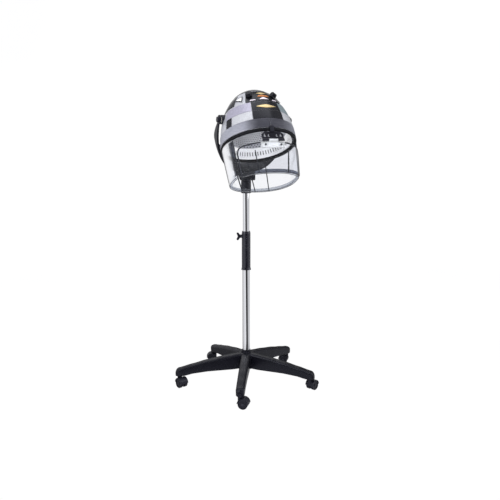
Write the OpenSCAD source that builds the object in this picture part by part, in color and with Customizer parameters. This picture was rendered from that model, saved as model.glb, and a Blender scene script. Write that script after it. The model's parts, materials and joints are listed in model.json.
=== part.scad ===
/* [Base] */
// Distance from the pole axis to the end of a leg
leg_reach = 343; // [310:1:360]
// Number of legs and casters
leg_count = 5; // [5:1:5]
// Direction of the first leg, seen from above
base_turn = -114.3; // [-180:0.1:180]
// Width of a leg where it leaves the hub
leg_w_hub = 44; // [38:1:52]
// Width of a leg at its tip
leg_w_tip = 40; // [34:1:44]
// Height of the top of the hub
hub_top = 143; // [130:1:155]
// Height of the underside of the hub
hub_bottom = 66; // [55:1:75]
// Diameter of a caster wheel
wheel_d = 44; // [40:1:46]
// Distance from the swivel axis of a caster to its wheel axle
caster_trail = 15; // [10:1:18]

/* [Pole] */
// Outer diameter of the fixed lower tube
lower_tube_d = 35; // [32:1:38]
// Outer diameter of the sliding upper tube
upper_tube_d = 30; // [28:1:30]
// Wall of both tubes
tube_wall = 1.5; // [1:0.1:2]
// Height of the bottom of the height collar
collar_bottom = 548; // [500:1:600]
// Height of the seam between the two collar pieces
collar_seam = 655; // [620:1:680]
// Height of the top of the height collar
collar_top = 731; // [700:1:760]
// Height of the underside of the yoke socket
socket_bottom = 908; // [880:1:940]
// Height of the top of the yoke socket
socket_top = 966; // [950:1:980]

/* [Hood] */
// Height of the tilt pivots
pivot_h = 1232; // [1200:1:1260]
// Distance of the tilt pivots in front of the pole axis
pivot_forward = 112; // [100:1:130]
// Backward tilt of the hood at rest
tilt = 24.5; // [20:0.5:28]
// Depth of the rim below the tilt pivots
rim_drop = 123; // [115:1:130]
// Radius of the hood at its rim
rim_r = 163; // [155:1:170]
// Height of the hood above its rim
dome_h = 254; // [240:1:265]
// Thickness of the moulded shells
shell_t = 3; // [2:0.5:4]
// Height of the top of the control panel above the rim
panel_top = 208; // [200:1:212]
// Half angle covered by the front shell
front_half = 75; // [70:1:80]

/* [Skirt] */
// Half width of the opening at the bottom of the skirt
skirt_half_w = 148; // [140:1:155]
// Half depth of the opening at the bottom of the skirt
skirt_half_d = 122; // [115:1:130]
// Depth of the bottom of the visor below the rim
visor_drop = 175; // [165:1:185]
// Depth of the bottom of the rear skirt below the rim
skirt_drop = 166; // [155:1:175]
// Thickness of the clear sheets
sheet_t = 2.5; // [2:0.5:3]
// Half angle covered by the visor
visor_half = 58; // [50:1:60]

/* [Yoke] */
// Half distance between the inner faces of the yoke arms
yoke_half_w = 157; // [156:1:160]
// Inner radius of the yoke around the tilt axis
yoke_r = 245; // [240:1:250]
// Wall of the yoke at its arms
yoke_arm_t = 8; // [7:0.5:9]
// Wall of the yoke at its middle
yoke_mid_t = 10; // [9:0.5:12]
// Angle of the lower edge of the yoke behind straight down
yoke_low = 26; // [24:1:28]
// Angle of the upper edge of the yoke behind straight down
yoke_high = 60; // [55:1:70]

/* [Hidden] */
$fn = 64;

// Running clearance on a radius, and a gap between faces that do not rub
fit = 0.05;
gap = 0.2;

// Sizes worked out for the base and the casters
wheel_r = wheel_d / 2;
wheel_w = 15;
web_w = 9;
axle_r = 3;
stem_r = 5.5;
stem_at = leg_reach - 20;
leg_under = 54;
leg_root = 20;
leg_tip_top = 92;
fender_r = wheel_r + 4;
caster_turn = [-35, 28, 150, 165, -70];

// Sizes worked out for the pole
lower_r = lower_tube_d / 2;
upper_r = upper_tube_d / 2;
lower_bore = lower_r - tube_wall;
foot_z = 70;
lower_top = 645;
upper_bottom = 350;
upper_top = 950;
collar_r = 20.5;
wing_z = 708;

// Sizes worked out for the hood, above the rim plane
gasket_top = 7;
gasket_low = 8;
gasket_r = 5;
gasket_mid = rim_r - 3.5;
band_top = 50;
row_1_top = 92;
row_2_top = 140;
row_3_low = 146;
row_3_top = 208;
crown_low = 218;
panel_low = 142;
panel_half = 34;
tile_split = 25;
tile_side = 60;
patch_from = 57;
patch_to = 104;
tile_gap = 0.4;
tile_t = 1.4;
badge_at = 112;
knob_turn = 26.5;
knob_at = 178;
grille_turn = 128;
bowl_r = 146;
bowl_h = 106;
bowl_t = 2;
ceiling_r = 60;
shroud_r = 72;
bridge_z = 169;
fan_low = 138;
motor_low = 172;
knob_bolt_r = 5;
hub_r = 20;
washer_t = 2.2;
washer_gap = 0.6;
boss_r = 20;
visor_gap = 3;
visor_high = -52;
hinge_y = -162;
hinge_z = -48;
pin_r = 2.5;

// Direction around the hood: 0 at the front, positive towards the right hand side
module facing(turn) {
    rotate([0, 0, turn - 90]) children();
}

// Frame with its origin on the tilt axis, leaning back with the hood
module pivot_frame() {
    translate([0, -pivot_forward, pivot_h]) rotate([-tilt, 0, 0]) children();
}

// Frame with its origin in the middle of the rim plane
module rim_frame() {
    pivot_frame() translate([0, 0, -rim_drop]) children();
}

// Dome outline between two heights, grown outwards from the shell surface
function dome_arc(grow, low, high, steps, r = rim_r, h = dome_h) =
    let (first = asin(max(-1, low / (h + grow))), last = high >= h + grow ? 90 : asin(high / (h + grow)))
    [for (i = [0 : steps]) let (t = first + (last - first) * i / steps)
        [(r + grow) * cos(t), (h + grow) * sin(t)]];

function backwards(list) = [for (i = [len(list) - 1 : -1 : 0]) list[i]];

// Radius of the dome, and the upward angle of its surface normal, at a height
function dome_radius(z) = rim_r * sqrt(1 - pow(z / dome_h, 2));
function dome_normal(z) = atan2(z / pow(dome_h, 2), dome_radius(z) / pow(rim_r, 2));

// Curved sheet on the dome between two heights and two directions
module dome_sheet(inner, outer, low, high, from, to, steps = 8) {
    facing(from) rotate_extrude(angle = to - from, $fn = 96)
        polygon(concat(dome_arc(outer, low, high, steps), backwards(dome_arc(inner, low, high, steps))));
}

// Frame on the dome surface, +Z along the outward normal and +X down the surface
module on_dome(turn, z) {
    facing(turn) translate([dome_radius(z), 0, z]) rotate([0, 90 - dome_normal(z), 0]) children();
}

// Point of the tapering skirt surface; the section turns from round to a rounded oval
function skirt_point(turn, z, grow) =
    let (t = -z / visor_drop, a = rim_r + (skirt_half_w - rim_r) * t + grow,
        b = rim_r + (skirt_half_d - rim_r) * t + grow, n = 2 + 0.4 * t,
        k = pow(pow(abs(sin(turn)) / a, n) + pow(abs(cos(turn)) / b, n), -1 / n))
    [k * sin(turn), -k * cos(turn), z];

// Sheet on the skirt surface with an inward lip along its bottom edge and upright ribs inside
module skirt_sheet(inner, outer, low, high, lip, rib_top, rib_in, ribs, from, to, steps) {
    lip_t = 2.5;
    rib_half = 0.7;
    step = 0.05;
    plain = [for (i = [0 : steps]) from + (to - from) * i / steps];
    turns = [for (i = [0 : steps]) each concat([plain[i]], [for (r = ribs)
        if (i < steps && r - rib_half > plain[i] && r + rib_half < plain[i + 1])
            each [r - rib_half - step, r - rib_half, r + rib_half, r + rib_half + step]])];
    function near_rib(turn) = len([for (r = ribs) if (abs(turn - r) < rib_half + step / 2) r]) > 0;
    function deep(turn) = near_rib(turn) ? rib_in : inner;
    function loop_at(turn) = [[outer, high], [outer, low], [lip, low], [lip, low + lip_t],
        [deep(turn), low + lip_t], [deep(turn), rib_top], [inner, rib_top + 1], [inner, high]];
    size = 8;
    last = len(turns) - 1;
    points = [for (turn = turns) for (spot = loop_at(turn)) skirt_point(turn, spot[1], spot[0])];
    skin = [for (i = [0 : last - 1]) for (k = [0 : size - 1])
        let (a = i * size + k, b = a + size, c = (i + 1) * size + (k + 1) % size, d = c - size)
        each [[a, b, c], [a, c, d]]];
    ends = [[for (k = [0 : size - 1]) k], [for (k = [size - 1 : -1 : 0]) last * size + k]];
    polyhedron(points = points, faces = concat(skin, ends), convexity = 6);
}

// Round bar between two points
module bar(from, to, r) {
    run = to - from;
    translate(from) rotate([0, atan2(norm([run[0], run[1]]), run[2]), atan2(run[1], run[0])])
        cylinder(r = r, h = norm(run));
}

// Round bar lying along X
module cross_bar(from, to, r) {
    translate([from, 0, 0]) rotate([0, 90, 0]) cylinder(r = r, h = to - from);
}

// ---- Base ----

module leg_side() {
    tip_round = 24;
    tip_arc = [for (t = [0 : 15 : 90])
        [leg_reach - tip_round * (1 - cos(t)), leg_tip_top - tip_round * (1 - sin(t))]];
    polygon(concat([[leg_root, hub_bottom + 4], [70, hub_bottom + 0.5], [190, hub_bottom + 0.5],
        [260, hub_bottom - 4], [stem_at - 24, leg_under], [leg_reach, leg_under]], tip_arc,
        [[260, 104], [188, 119], [100, 133], [38, hub_top - 2], [leg_root, hub_top - 4]]));
}

module leg_plan() {
    union() {
        polygon([[leg_root, -leg_w_hub / 2], [stem_at, -leg_w_tip / 2], [stem_at, leg_w_tip / 2],
            [leg_root, leg_w_hub / 2]]);
        translate([stem_at, 0]) circle(r = leg_w_tip / 2);
    }
}

module leg() {
    intersection() {
        translate([0, leg_w_hub / 2, 0]) rotate([90, 0, 0]) linear_extrude(leg_w_hub) leg_side();
        linear_extrude(hub_top) leg_plan();
    }
}

module base_star() {
    color([0.08, 0.08, 0.09]) difference() {
        union() {
            for (i = [0 : leg_count - 1]) rotate([0, 0, base_turn + 360 / leg_count * i]) leg();
            translate([0, 0, hub_bottom]) cylinder(r = 38, h = hub_top - hub_bottom);
        }
        translate([0, 0, foot_z]) cylinder(r = lower_r + fit, h = hub_top);
        for (i = [0 : leg_count - 1]) rotate([0, 0, base_turn + 360 / leg_count * i])
            translate([stem_at, 0, leg_under - 1]) cylinder(r = stem_r + fit, h = 25);
    }
}

module hub_collar() {
    color([0.1, 0.1, 0.11]) translate([0, 0, hub_top + gap]) difference() {
        union() {
            cylinder(r = 22, h = 6);
            translate([0, 0, 6]) cylinder(r = 20, h = 8);
        }
        translate([0, 0, -1]) cylinder(r = lower_r + fit, h = 20);
    }
}

// ---- Casters ----

module caster_place(index) {
    turn = base_turn + 360 / leg_count * index;
    rotate([0, 0, turn]) translate([stem_at, 0, 0]) rotate([0, 0, caster_turn[index] - turn]) children();
}

module caster_housing(index) {
    stem_len = 22;
    body_top = leg_under - 1.5;
    color([0.1, 0.1, 0.11]) caster_place(index) union() {
        difference() {
            union() {
                translate([0, 0, 20]) cylinder(r = 11, h = body_top - 20);
                translate([caster_trail, web_w / 2, wheel_r]) rotate([90, 0, 0])
                    cylinder(r = wheel_r - 4, h = web_w);
                intersection() {
                    translate([caster_trail, 0, wheel_r]) rotate([90, 0, 0]) difference() {
                        cylinder(r = fender_r, h = 2 * wheel_w + web_w + 2, center = true);
                        cylinder(r = wheel_r + 1.2, h = 2 * wheel_w + web_w + 4, center = true);
                    }
                    translate([caster_trail - fender_r - 1, -30, wheel_r + 2])
                        cube([2 * fender_r + 2, 60, 30]);
                }
                translate([caster_trail, 0, wheel_r]) rotate([90, 0, 0]) intersection() {
                    cylinder(r = fender_r, h = web_w, center = true);
                    translate([-fender_r, 0, -web_w]) cube([2 * fender_r, fender_r, 2 * web_w]);
                }
            }
            translate([caster_trail, 0, wheel_r]) rotate([90, 0, 0])
                cylinder(r = axle_r + fit, h = 60, center = true);
            for (side = [-1, 1]) translate([caster_trail, side * (web_w / 2 + 0.6 + wheel_w / 2), wheel_r])
                rotate([90, 0, 0]) cylinder(r = wheel_r + 1.2, h = wheel_w + 1.2, center = true);
            translate([0, 0, -10]) cylinder(r = 14, h = 14);
        }
        translate([0, 0, body_top - 2]) cylinder(r = stem_r, h = stem_len);
    }
}

module caster_wheels(index) {
    half = wheel_w / 2 - 0.2;
    edge = 1.5;
    color([0.14, 0.14, 0.15]) caster_place(index) translate([caster_trail, 0, wheel_r]) rotate([90, 0, 0]) {
        for (side = [-1, 1]) translate([0, 0, side * (web_w / 2 + 0.8 + wheel_w / 2)]) difference() {
            rotate_extrude() polygon([[axle_r, -half], [wheel_r - edge, -half], [wheel_r, edge - half],
                [wheel_r, half - edge], [wheel_r - edge, half], [axle_r, half]]);
            translate([0, 0, side * wheel_w / 2]) difference() {
                cylinder(r = wheel_r - 4, h = 4, center = true);
                cylinder(r = 7, h = 5, center = true);
            }
        }
        cylinder(r = axle_r - gap / 10, h = 2 * wheel_w + web_w, center = true);
    }
}

// ---- Pole ----

module tube(r, bottom, top) {
    translate([0, 0, bottom]) difference() {
        cylinder(r = r, h = top - bottom);
        translate([0, 0, -1]) cylinder(r = r - tube_wall, h = top - bottom + 2);
    }
}

module lower_tube() {
    color([0.8, 0.81, 0.83]) tube(lower_r, foot_z + gap, lower_top);
}

module upper_tube() {
    color([0.8, 0.81, 0.83]) tube(upper_r, upper_bottom, upper_top);
}

module tube_plug() {
    color([0.12, 0.12, 0.13]) translate([0, 0, upper_bottom - 6]) union() {
        cylinder(r = lower_bore - fit, h = 6 - fit);
        cylinder(r = upper_r - tube_wall - fit, h = 26);
    }
}

module guide_bush() {
    bush_len = 50;
    color([0.85, 0.85, 0.82]) translate([0, 0, lower_top - bush_len]) difference() {
        union() {
            cylinder(r = lower_bore - 0.02, h = bush_len);
            translate([0, 0, bush_len]) cylinder(r = lower_r, h = 3);
        }
        translate([0, 0, -1]) cylinder(r = upper_r + fit, h = bush_len + 10);
    }
}

module collar_sleeve() {
    flare = 12;
    shoulder = lower_top + 4;
    color([0.1, 0.1, 0.11]) rotate_extrude() polygon([[lower_r + fit, collar_bottom],
        [collar_r + 2.5, collar_bottom], [collar_r, collar_bottom + flare], [collar_r, collar_seam - 1],
        [upper_r + 1, collar_seam - 1], [upper_r + 1, shoulder], [lower_r + fit, shoulder]]);
}

module collar_clamp() {
    color([0.11, 0.11, 0.12]) difference() {
        union() {
            rotate_extrude() polygon([[upper_r + fit, collar_seam], [collar_r, collar_seam],
                [collar_r, collar_top - 10], [collar_r - 2, collar_top], [upper_r + fit, collar_top]]);
            translate([-collar_r - 5, 0, wing_z]) rotate([0, 90, 0]) difference() {
                cylinder(r = 8, h = 12);
                translate([0, 0, -1]) cylinder(r = 4 + fit, h = 14);
            }
        }
        translate([-60, 0, wing_z]) rotate([0, 90, 0]) cylinder(r = 4 + fit, h = 60);
        translate([0, 0, collar_seam - 1]) cylinder(r = upper_r + fit, h = 100);
    }
}

module wing_knob() {
    color([0.1, 0.1, 0.11]) translate([0, 0, wing_z]) rotate([0, -90, 0]) {
        translate([0, 0, upper_r + 0.3]) cylinder(r = 4, h = 16);
        translate([0, 0, collar_r + 6]) cylinder(r = 8, h = 6);
        translate([0, 0, collar_r + 18]) rotate([90, 0, 0]) linear_extrude(6, center = true)
            polygon([[-6, -8], [6, -8], [17, 0], [18, 6], [13, 8], [0, 2], [-13, 8], [-18, 6], [-17, 0]]);
    }
}

// ---- Yoke ----

module yoke_socket() {
    r = 23;
    color([0.1, 0.1, 0.11]) difference() {
        rotate_extrude() polygon([[0, socket_bottom], [r - 2, socket_bottom], [r, socket_bottom + 3],
            [r, socket_top - 3], [r - 1, socket_top], [0, socket_top]]);
        translate([0, 0, socket_bottom - 1])
            cylinder(r = upper_r + fit, h = upper_top + gap - socket_bottom + 1);
        translate([0, 0, socket_top - 14]) cylinder(r = 5, h = 20);
    }
}

// Half outline of the yoke around the tilt axis, as radius against distance along the axis
function yoke_outline(radius, half, steps) = [for (i = [0 : steps])
    let (t = -90 + 180 * i / steps, s = sin(t))
    [radius * pow(max(0, cos(t)), 0.8), half * sign(s) * pow(abs(s), 0.8)]];

module yoke_band() {
    steps = 28;
    rotate([0, 90, 0]) rotate([0, 0, yoke_low]) rotate_extrude(angle = yoke_high - yoke_low, $fn = 128)
        difference() {
            polygon(yoke_outline(yoke_r + yoke_mid_t, yoke_half_w + yoke_arm_t, steps));
            polygon(yoke_outline(yoke_r, yoke_half_w, steps));
            translate([-1, -200]) square([11, 400]);
        }
}

module yoke_neck() {
    lean = atan(0.57);
    translate([0, 0, socket_top + gap]) difference() {
        rotate_extrude() polygon([[0, 0], [22, 0], [26, 20], [36, 48], [46, 75], [0, 75]]);
        translate([-50, -21, 1000 - socket_top]) rotate([-lean, 0, 0]) translate([0, -100, -90])
            cube([100, 100, 240]);
    }
}

module yoke_cradle() {
    color([0.09, 0.09, 0.1]) difference() {
        union() {
            translate([0, -pivot_forward, pivot_h]) yoke_band();
            translate([0, -pivot_forward, pivot_h]) for (side = [-1, 1]) scale([side, 1, 1])
                cross_bar(yoke_half_w, yoke_half_w + yoke_arm_t, boss_r);
            difference() {
                yoke_neck();
                translate([0, -pivot_forward, pivot_h]) rotate([0, 90, 0])
                    cylinder(r = yoke_r + 1, h = 200, center = true, $fn = 128);
            }
        }
        translate([0, -pivot_forward, pivot_h]) cross_bar(-200, 200, knob_bolt_r + fit);
    }
}

module pivot_knob(side) {
    outer = yoke_half_w + yoke_arm_t + gap;
    color([0.1, 0.1, 0.11]) pivot_frame() scale([side, 1, 1]) {
        cross_bar(128, outer + 1, knob_bolt_r);
        cross_bar(outer, outer + 7, 12);
    }
}

module left_pivot_knob() {
    pivot_knob(-1);
}

module right_pivot_knob() {
    pivot_knob(1);
}

module pivot_hubs() {
    color([0.09, 0.09, 0.1]) difference() {
        pivot_frame() for (side = [-1, 1]) scale([side, 1, 1])
            cross_bar(130, yoke_half_w - washer_t - washer_gap - gap, hub_r);
        rim_frame() rotate_extrude($fn = 96)
            polygon(concat([[0, 0]], dome_arc(gap, 40, 230, 36), [[0, 230]]));
        pivot_frame() cross_bar(-200, 200, knob_bolt_r + fit);
    }
}

module pivot_washers() {
    color([0.75, 0.75, 0.76]) pivot_frame() for (side = [-1, 1]) scale([side, 1, 1]) difference() {
        cross_bar(yoke_half_w - washer_t - washer_gap, yoke_half_w - washer_gap, 14);
        cross_bar(100, 200, knob_bolt_r + fit);
    }
}

// ---- Hood shells ----

module knob_holes(r) {
    for (turn = [-knob_turn, knob_turn]) on_dome(turn, knob_at) translate([0, 0, -20])
        cylinder(r = r, h = 40);
}

module front_shell() {
    color([0.62, 0.63, 0.68]) rim_frame() difference() {
        dome_sheet(-shell_t, 0, gasket_top + 0.5, dome_h + 1, -front_half, front_half, 36);
        knob_holes(6);
    }
}

// Windows for the air intake, one at the back and one behind each pivot
module grille_windows(inner, outer, shrink) {
    for (turn = [-grille_turn, grille_turn])
        dome_sheet(inner, outer, 118 + shrink, 182 - shrink, turn - 12 + shrink, turn + 12 - shrink);
    dome_sheet(inner, outer, 112 + shrink, 196 - shrink, 158 + shrink, 202 - shrink);
}

module rear_shell() {
    color([0.62, 0.63, 0.68]) rim_frame() difference() {
        dome_sheet(-shell_t, 0, gasket_top + 0.5, dome_h + 1, front_half + 0.2, 359.8 - front_half, 36);
        grille_windows(-shell_t - 2, 2, 3);
        translate([0, 0, rim_drop]) cross_bar(-200, 200, knob_bolt_r + 0.6);
    }
}

module intake_grilles() {
    color([0.07, 0.07, 0.08]) rim_frame() difference() {
        grille_windows(gap, 2.2, 0);
        for (z = [122 : 7 : 186]) facing(180) translate([60, -44, z]) cube([120, 88, 3.2]);
        for (z = [124 : 7 : 173]) for (turn = [-grille_turn, grille_turn])
            facing(turn) translate([60, -19, z]) cube([120, 38, 3.2]);
    }
}

module metal_band() {
    color([0.55, 0.56, 0.6]) rim_frame() rotate_extrude($fn = 96)
        polygon(concat(dome_arc(1.8, gasket_top + 0.5, band_top, 8),
            backwards(dome_arc(gap, gasket_top + 0.5, band_top, 8))));
}

module rim_gasket() {
    color([0.06, 0.06, 0.06]) rim_frame() rotate_extrude($fn = 96) {
        translate([gasket_mid, gasket_top - gasket_r]) circle(r = gasket_r);
        translate([gasket_mid, gasket_r - gasket_low]) circle(r = gasket_r);
        translate([gasket_mid - gasket_r, gasket_r - gasket_low])
            square([2 * gasket_r, gasket_top + gasket_low - 2 * gasket_r]);
    }
}

// Trim tile between two heights and two directions, and its mirror image on the other side
module trim_tile(low, high, from, to) {
    dome_sheet(gap, tile_t, low + tile_gap, high - tile_gap, from + tile_gap, to - tile_gap);
}

module trim_pair(low, high, from, to) {
    trim_tile(low, high, from, to);
    trim_tile(low, high, -to, -from);
}

module light_tiles() {
    color([0.7, 0.71, 0.76]) rim_frame() {
        trim_pair(band_top, row_1_top, tile_split, tile_side);
        trim_pair(row_1_top, row_2_top, tile_split, front_half);
    }
}

module dark_tiles() {
    color([0.1, 0.1, 0.11]) rim_frame() {
        trim_tile(band_top, row_1_top, -tile_split, tile_split);
        trim_tile(row_1_top, row_2_top, -tile_split, tile_split);
        trim_pair(band_top, row_1_top, tile_side, front_half - 2);
        trim_pair(row_3_low, row_3_top, patch_from, front_half);
        trim_pair(row_3_low, row_3_top, front_half, patch_to);
    }
}

module crown_cap() {
    color([0.1, 0.1, 0.11]) rim_frame() rotate_extrude($fn = 96)
        polygon(concat(dome_arc(tile_t, crown_low, dome_h + tile_t, 8),
            backwards(dome_arc(gap, crown_low, dome_h + gap, 8))));
}

module control_panel() {
    color([0.06, 0.06, 0.07]) rim_frame() difference() {
        dome_sheet(gap, 3.2, panel_low, panel_top, -panel_half, panel_half, 12);
        knob_holes(4 + fit);
    }
}

module knob() {
    translate([0, 0, -24]) cylinder(r = 4, h = 32);
    translate([0, 0, 5.2]) difference() {
        rotate_extrude() polygon([[0, 0], [15, 0], [15, 4], [13.5, 12], [12.5, 13.5], [0, 13.5]]);
        for (turn = [0 : 30 : 359]) rotate([0, 0, turn]) translate([16, 0, -1]) cylinder(r = 2.2, h = 20);
    }
    translate([-11, -1.5, 15]) cube([22, 3, 5.5]);
}

module timer_knob() {
    color([0.07, 0.07, 0.07]) rim_frame() on_dome(-knob_turn, knob_at) knob();
}

module heat_knob() {
    color([0.07, 0.07, 0.07]) rim_frame() on_dome(knob_turn, knob_at) knob();
}

module control_unit(turn, wide) {
    rim_frame() on_dome(turn, knob_at) difference() {
        union() {
            translate([-15, -wide / 2, -36]) cube([30, wide, 25]);
            translate([0, 0, -12]) cylinder(r = 5.8, h = 12);
        }
        translate([0, 0, -25]) cylinder(r = 4 + fit, h = 40);
    }
}

module timer_unit() {
    color([0.8, 0.78, 0.7]) control_unit(-knob_turn, 36);
}

module thermostat_unit() {
    color([0.75, 0.75, 0.75]) control_unit(knob_turn, 30);
}

module oval_badge() {
    half_w = 42;
    half_h = 13;
    arc_r = (half_w * half_w + half_h * half_h) / (2 * half_h);
    color([0.75, 0.62, 0.35]) rim_frame() intersection() {
        dome_sheet(tile_t + gap, tile_t + 1.2, badge_at - 20, badge_at + 20, -tile_split, tile_split, 10);
        translate([0, -100, badge_at]) rotate([90, 0, 0]) linear_extrude(100) intersection() {
            translate([0, arc_r - half_h]) circle(r = arc_r, $fn = 180);
            translate([0, half_h - arc_r]) circle(r = arc_r, $fn = 180);
        }
    }
}

module indicator_lenses() {
    color([0.9, 0.9, 0.88]) rim_frame() for (side = [-1, 1]) on_dome(side * 46, 170)
        translate([0, 0, 1.9]) linear_extrude(1.6)
            polygon([[-4, side * 23], [-17, -side * 9], [18, -side * 12]]);
}

// ---- Inside the hood ----

module air_bowl() {
    slot_count = 36;
    inner_r = bowl_r - bowl_t;
    inner_h = bowl_h - bowl_t;
    outer_top = bowl_h * sin(acos(ceiling_r / bowl_r));
    inner_top = inner_h * sin(acos(ceiling_r / inner_r));
    color([0.86, 0.86, 0.84]) rim_frame() difference() {
        union() {
            rotate_extrude($fn = 96) polygon(concat(
                dome_arc(0, 2, outer_top, 18, bowl_r, bowl_h),
                backwards(dome_arc(-bowl_t, 2, inner_top, 18, bowl_r, bowl_h))));
            difference() {
                cylinder(r = gasket_mid - gasket_r - gap, h = 2.5, $fn = 96);
                translate([0, 0, -1]) cylinder(r = bowl_r - bowl_t, h = 5, $fn = 96);
            }
        }
        for (i = [0 : slot_count - 1]) facing(360 / slot_count * i)
            translate([120, -2.5, 12]) cube([40, 5, 22]);
    }
}

module ceiling_grille() {
    color([0.7, 0.71, 0.72]) rim_frame() difference() {
        translate([0, 0, 92]) cylinder(r = ceiling_r - 2.5, h = 1.5);
        for (ring = [0 : 3]) for (i = [0 : 7]) rotate([0, 0, 45 * i + 22.5 * (ring % 2)])
            translate([14 + 11 * ring, -2 - ring, 90]) cube([7, 4 + 2 * ring, 6]);
    }
}

module fan_shroud() {
    color([0.7, 0.7, 0.72]) rim_frame() difference() {
        translate([0, 0, 95]) cylinder(r = shroud_r, h = 67, $fn = 96);
        translate([0, 0, 90]) cylinder(r = shroud_r - 2, h = 80, $fn = 96);
    }
}

module motor_bridge() {
    color([0.7, 0.7, 0.72]) rim_frame() translate([0, 0, bridge_z]) difference() {
        intersection() {
            translate([-120, -24, 0]) cube([240, 48, 2.5]);
            cylinder(r = 116, h = 3, $fn = 96);
        }
        translate([0, 0, -1]) cylinder(r = 12, h = 5);
    }
}

module fan_motor() {
    color([0.35, 0.35, 0.38]) rim_frame() translate([0, 0, motor_low]) difference() {
        union() {
            cylinder(r = 30, h = 34);
            translate([0, 0, 34]) cylinder(r = 14, h = 8);
        }
        translate([0, 0, -1]) cylinder(r = 3 + fit, h = 40);
    }
}

module fan_shaft() {
    color([0.7, 0.7, 0.72]) rim_frame() translate([0, 0, fan_low]) cylinder(r = 3, h = 66);
}

module fan_wheel() {
    blades = 18;
    color([0.2, 0.2, 0.22]) rim_frame() translate([0, 0, fan_low + 2]) difference() {
        union() {
            translate([0, 0, 20]) cylinder(r = 58, h = 2, $fn = 96);
            cylinder(r = 13, h = 21);
            difference() {
                cylinder(r = 60, h = 2, $fn = 96);
                translate([0, 0, -1]) cylinder(r = 42, h = 4, $fn = 96);
            }
            for (i = [0 : blades - 1]) rotate([0, 0, 360 / blades * i])
                translate([50, 0, 1]) rotate([0, 0, 35]) translate([-9, -0.8, 0]) cube([18, 1.6, 20]);
        }
        translate([0, 0, -1]) cylinder(r = 3, h = 30);
    }
}

module coil_ring(r, wire) {
    translate([0, 0, 122]) rotate_extrude($fn = 96) translate([r, 0]) circle(r = wire, $fn = 24);
}

module heater_frame() {
    color([0.8, 0.76, 0.62]) rim_frame() difference() {
        union() {
            translate([0, 0, 112]) difference() {
                cylinder(r = 69, h = 20, $fn = 96);
                translate([0, 0, -1]) cylinder(r = 66, h = 22, $fn = 96);
            }
            for (turn = [0, 90]) rotate([0, 0, turn]) translate([-67, -1, 112]) cube([134, 2, 20]);
        }
        for (r = [32, 44, 56]) coil_ring(r, 1.5);
        rotate([0, 0, 45]) translate([30, 0, 122]) rotate([0, 90, 0]) cylinder(r = 1.4, h = 28);
    }
}

module heater_coil() {
    color([0.6, 0.45, 0.3]) rim_frame() union() {
        for (r = [32, 44, 56]) coil_ring(r, 1.2);
        rotate([0, 0, 45]) translate([32, 0, 122]) rotate([0, 90, 0]) cylinder(r = 1.2, h = 24);
    }
}

module thermal_cutout() {
    color([0.85, 0.85, 0.8]) rim_frame() translate([0, shroud_r + gap, 122]) rotate([-90, 0, 0]) union() {
        cylinder(r = 8, h = 5);
        translate([-3, -10, 5]) cube([6, 20, 1]);
    }
}

module terminal_block() {
    color([0.9, 0.9, 0.86]) rim_frame() translate([45, -8, bridge_z + 2.5 + gap]) difference() {
        cube([36, 16, 10]);
        for (i = [0 : 2]) translate([4 + 11 * i, -1, 4]) cube([6, 18, 3]);
    }
}

module supply_lead() {
    stops = [[81.5, 12, 178], [92, 34, 175], [112, 35, 150], [120, 26, 132], [120, 20, 108]];
    color([0.12, 0.12, 0.12]) rim_frame() union() {
        for (i = [0 : len(stops) - 2]) bar(stops[i], stops[i + 1], 3);
        for (p = stops) translate(p) sphere(r = 3.4);
    }
}

// ---- Visor and skirt ----

module hinge_bracket() {
    half = 48;
    top_half = 34;
    low = -42;
    high = -12;
    plate_t = 3.5;
    stem_half = 9;
    knuckle_r = 5;
    knuckle_in = 20;
    color([0.07, 0.07, 0.07]) rim_frame() difference() {
        union() {
            translate([0, hinge_y - 2 + plate_t, 0]) rotate([90, 0, 0]) linear_extrude(plate_t)
                polygon([[-half, low], [half, low], [half, -24],
                    [top_half, high], [-top_half, high], [-half, -24]]);
            translate([-stem_half, hinge_y - 6, high - 2]) cube([2 * stem_half, 4.5, 26]);
            for (side = [-1, 1]) scale([side, 1, 1]) {
                translate([0, hinge_y, hinge_z]) cross_bar(knuckle_in, half, knuckle_r);
                translate([knuckle_in, hinge_y - 2, hinge_z]) cube([half - knuckle_in, plate_t, 8]);
            }
        }
        translate([0, hinge_y, hinge_z]) cross_bar(-60, 60, pin_r + fit);
        for (side = [-1, 1]) for (cell = [0 : 1]) translate([side * (14 + 17 * cell), hinge_y + 10, -27])
            rotate([90, 0, 0]) linear_extrude(30)
                polygon([[-side * 3, -8], [side * 10, -8], [side * 4, 8]]);
        rotate_extrude($fn = 96) polygon(concat([[0, 0]], dome_arc(2.1, 5, 60, 10), [[0, 60]]));
        rotate_extrude($fn = 96) translate([0, -gasket_low]) square([gasket_mid + gasket_r + gap, 20]);
    }
}

module hinge_pin() {
    color([0.8, 0.8, 0.82]) rim_frame() translate([0, hinge_y, hinge_z]) cross_bar(-50, 50, pin_r);
}

// Slope of the front of the skirt surface, and where a round band matches its curve
front_slope = (rim_r - skirt_half_d) / visor_drop;
clamp_centre = 60;
function clamp_radius(z, grow) = rim_r + front_slope * z + visor_gap + sheet_t + grow + clamp_centre;

module clamp_holes(r) {
    for (side = [-1, 1]) translate([side * 34, -100, -66]) rotate([90, 0, 0]) cylinder(r = r, h = 100);
}

module visor_clamp() {
    link = 19.5;
    top = -54;
    low = -78;
    near = 1;
    far = 4;
    half = 14;
    color([0.3, 0.31, 0.33]) rim_frame() difference() {
        union() {
            translate([0, clamp_centre, 0]) facing(-half) rotate_extrude(angle = 2 * half, $fn = 180)
                polygon([[clamp_radius(low, near), low], [clamp_radius(low, far), low],
                    [clamp_radius(top, far), top], [clamp_radius(top, near), top]]);
            translate([0, hinge_y, hinge_z]) cross_bar(-link, link, 5);
            translate([-link, hinge_y - 2, -66]) cube([2 * link, 5, 18]);
        }
        translate([0, hinge_y, hinge_z]) cross_bar(-60, 60, pin_r + fit);
        clamp_holes(2.05);
    }
}

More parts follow.
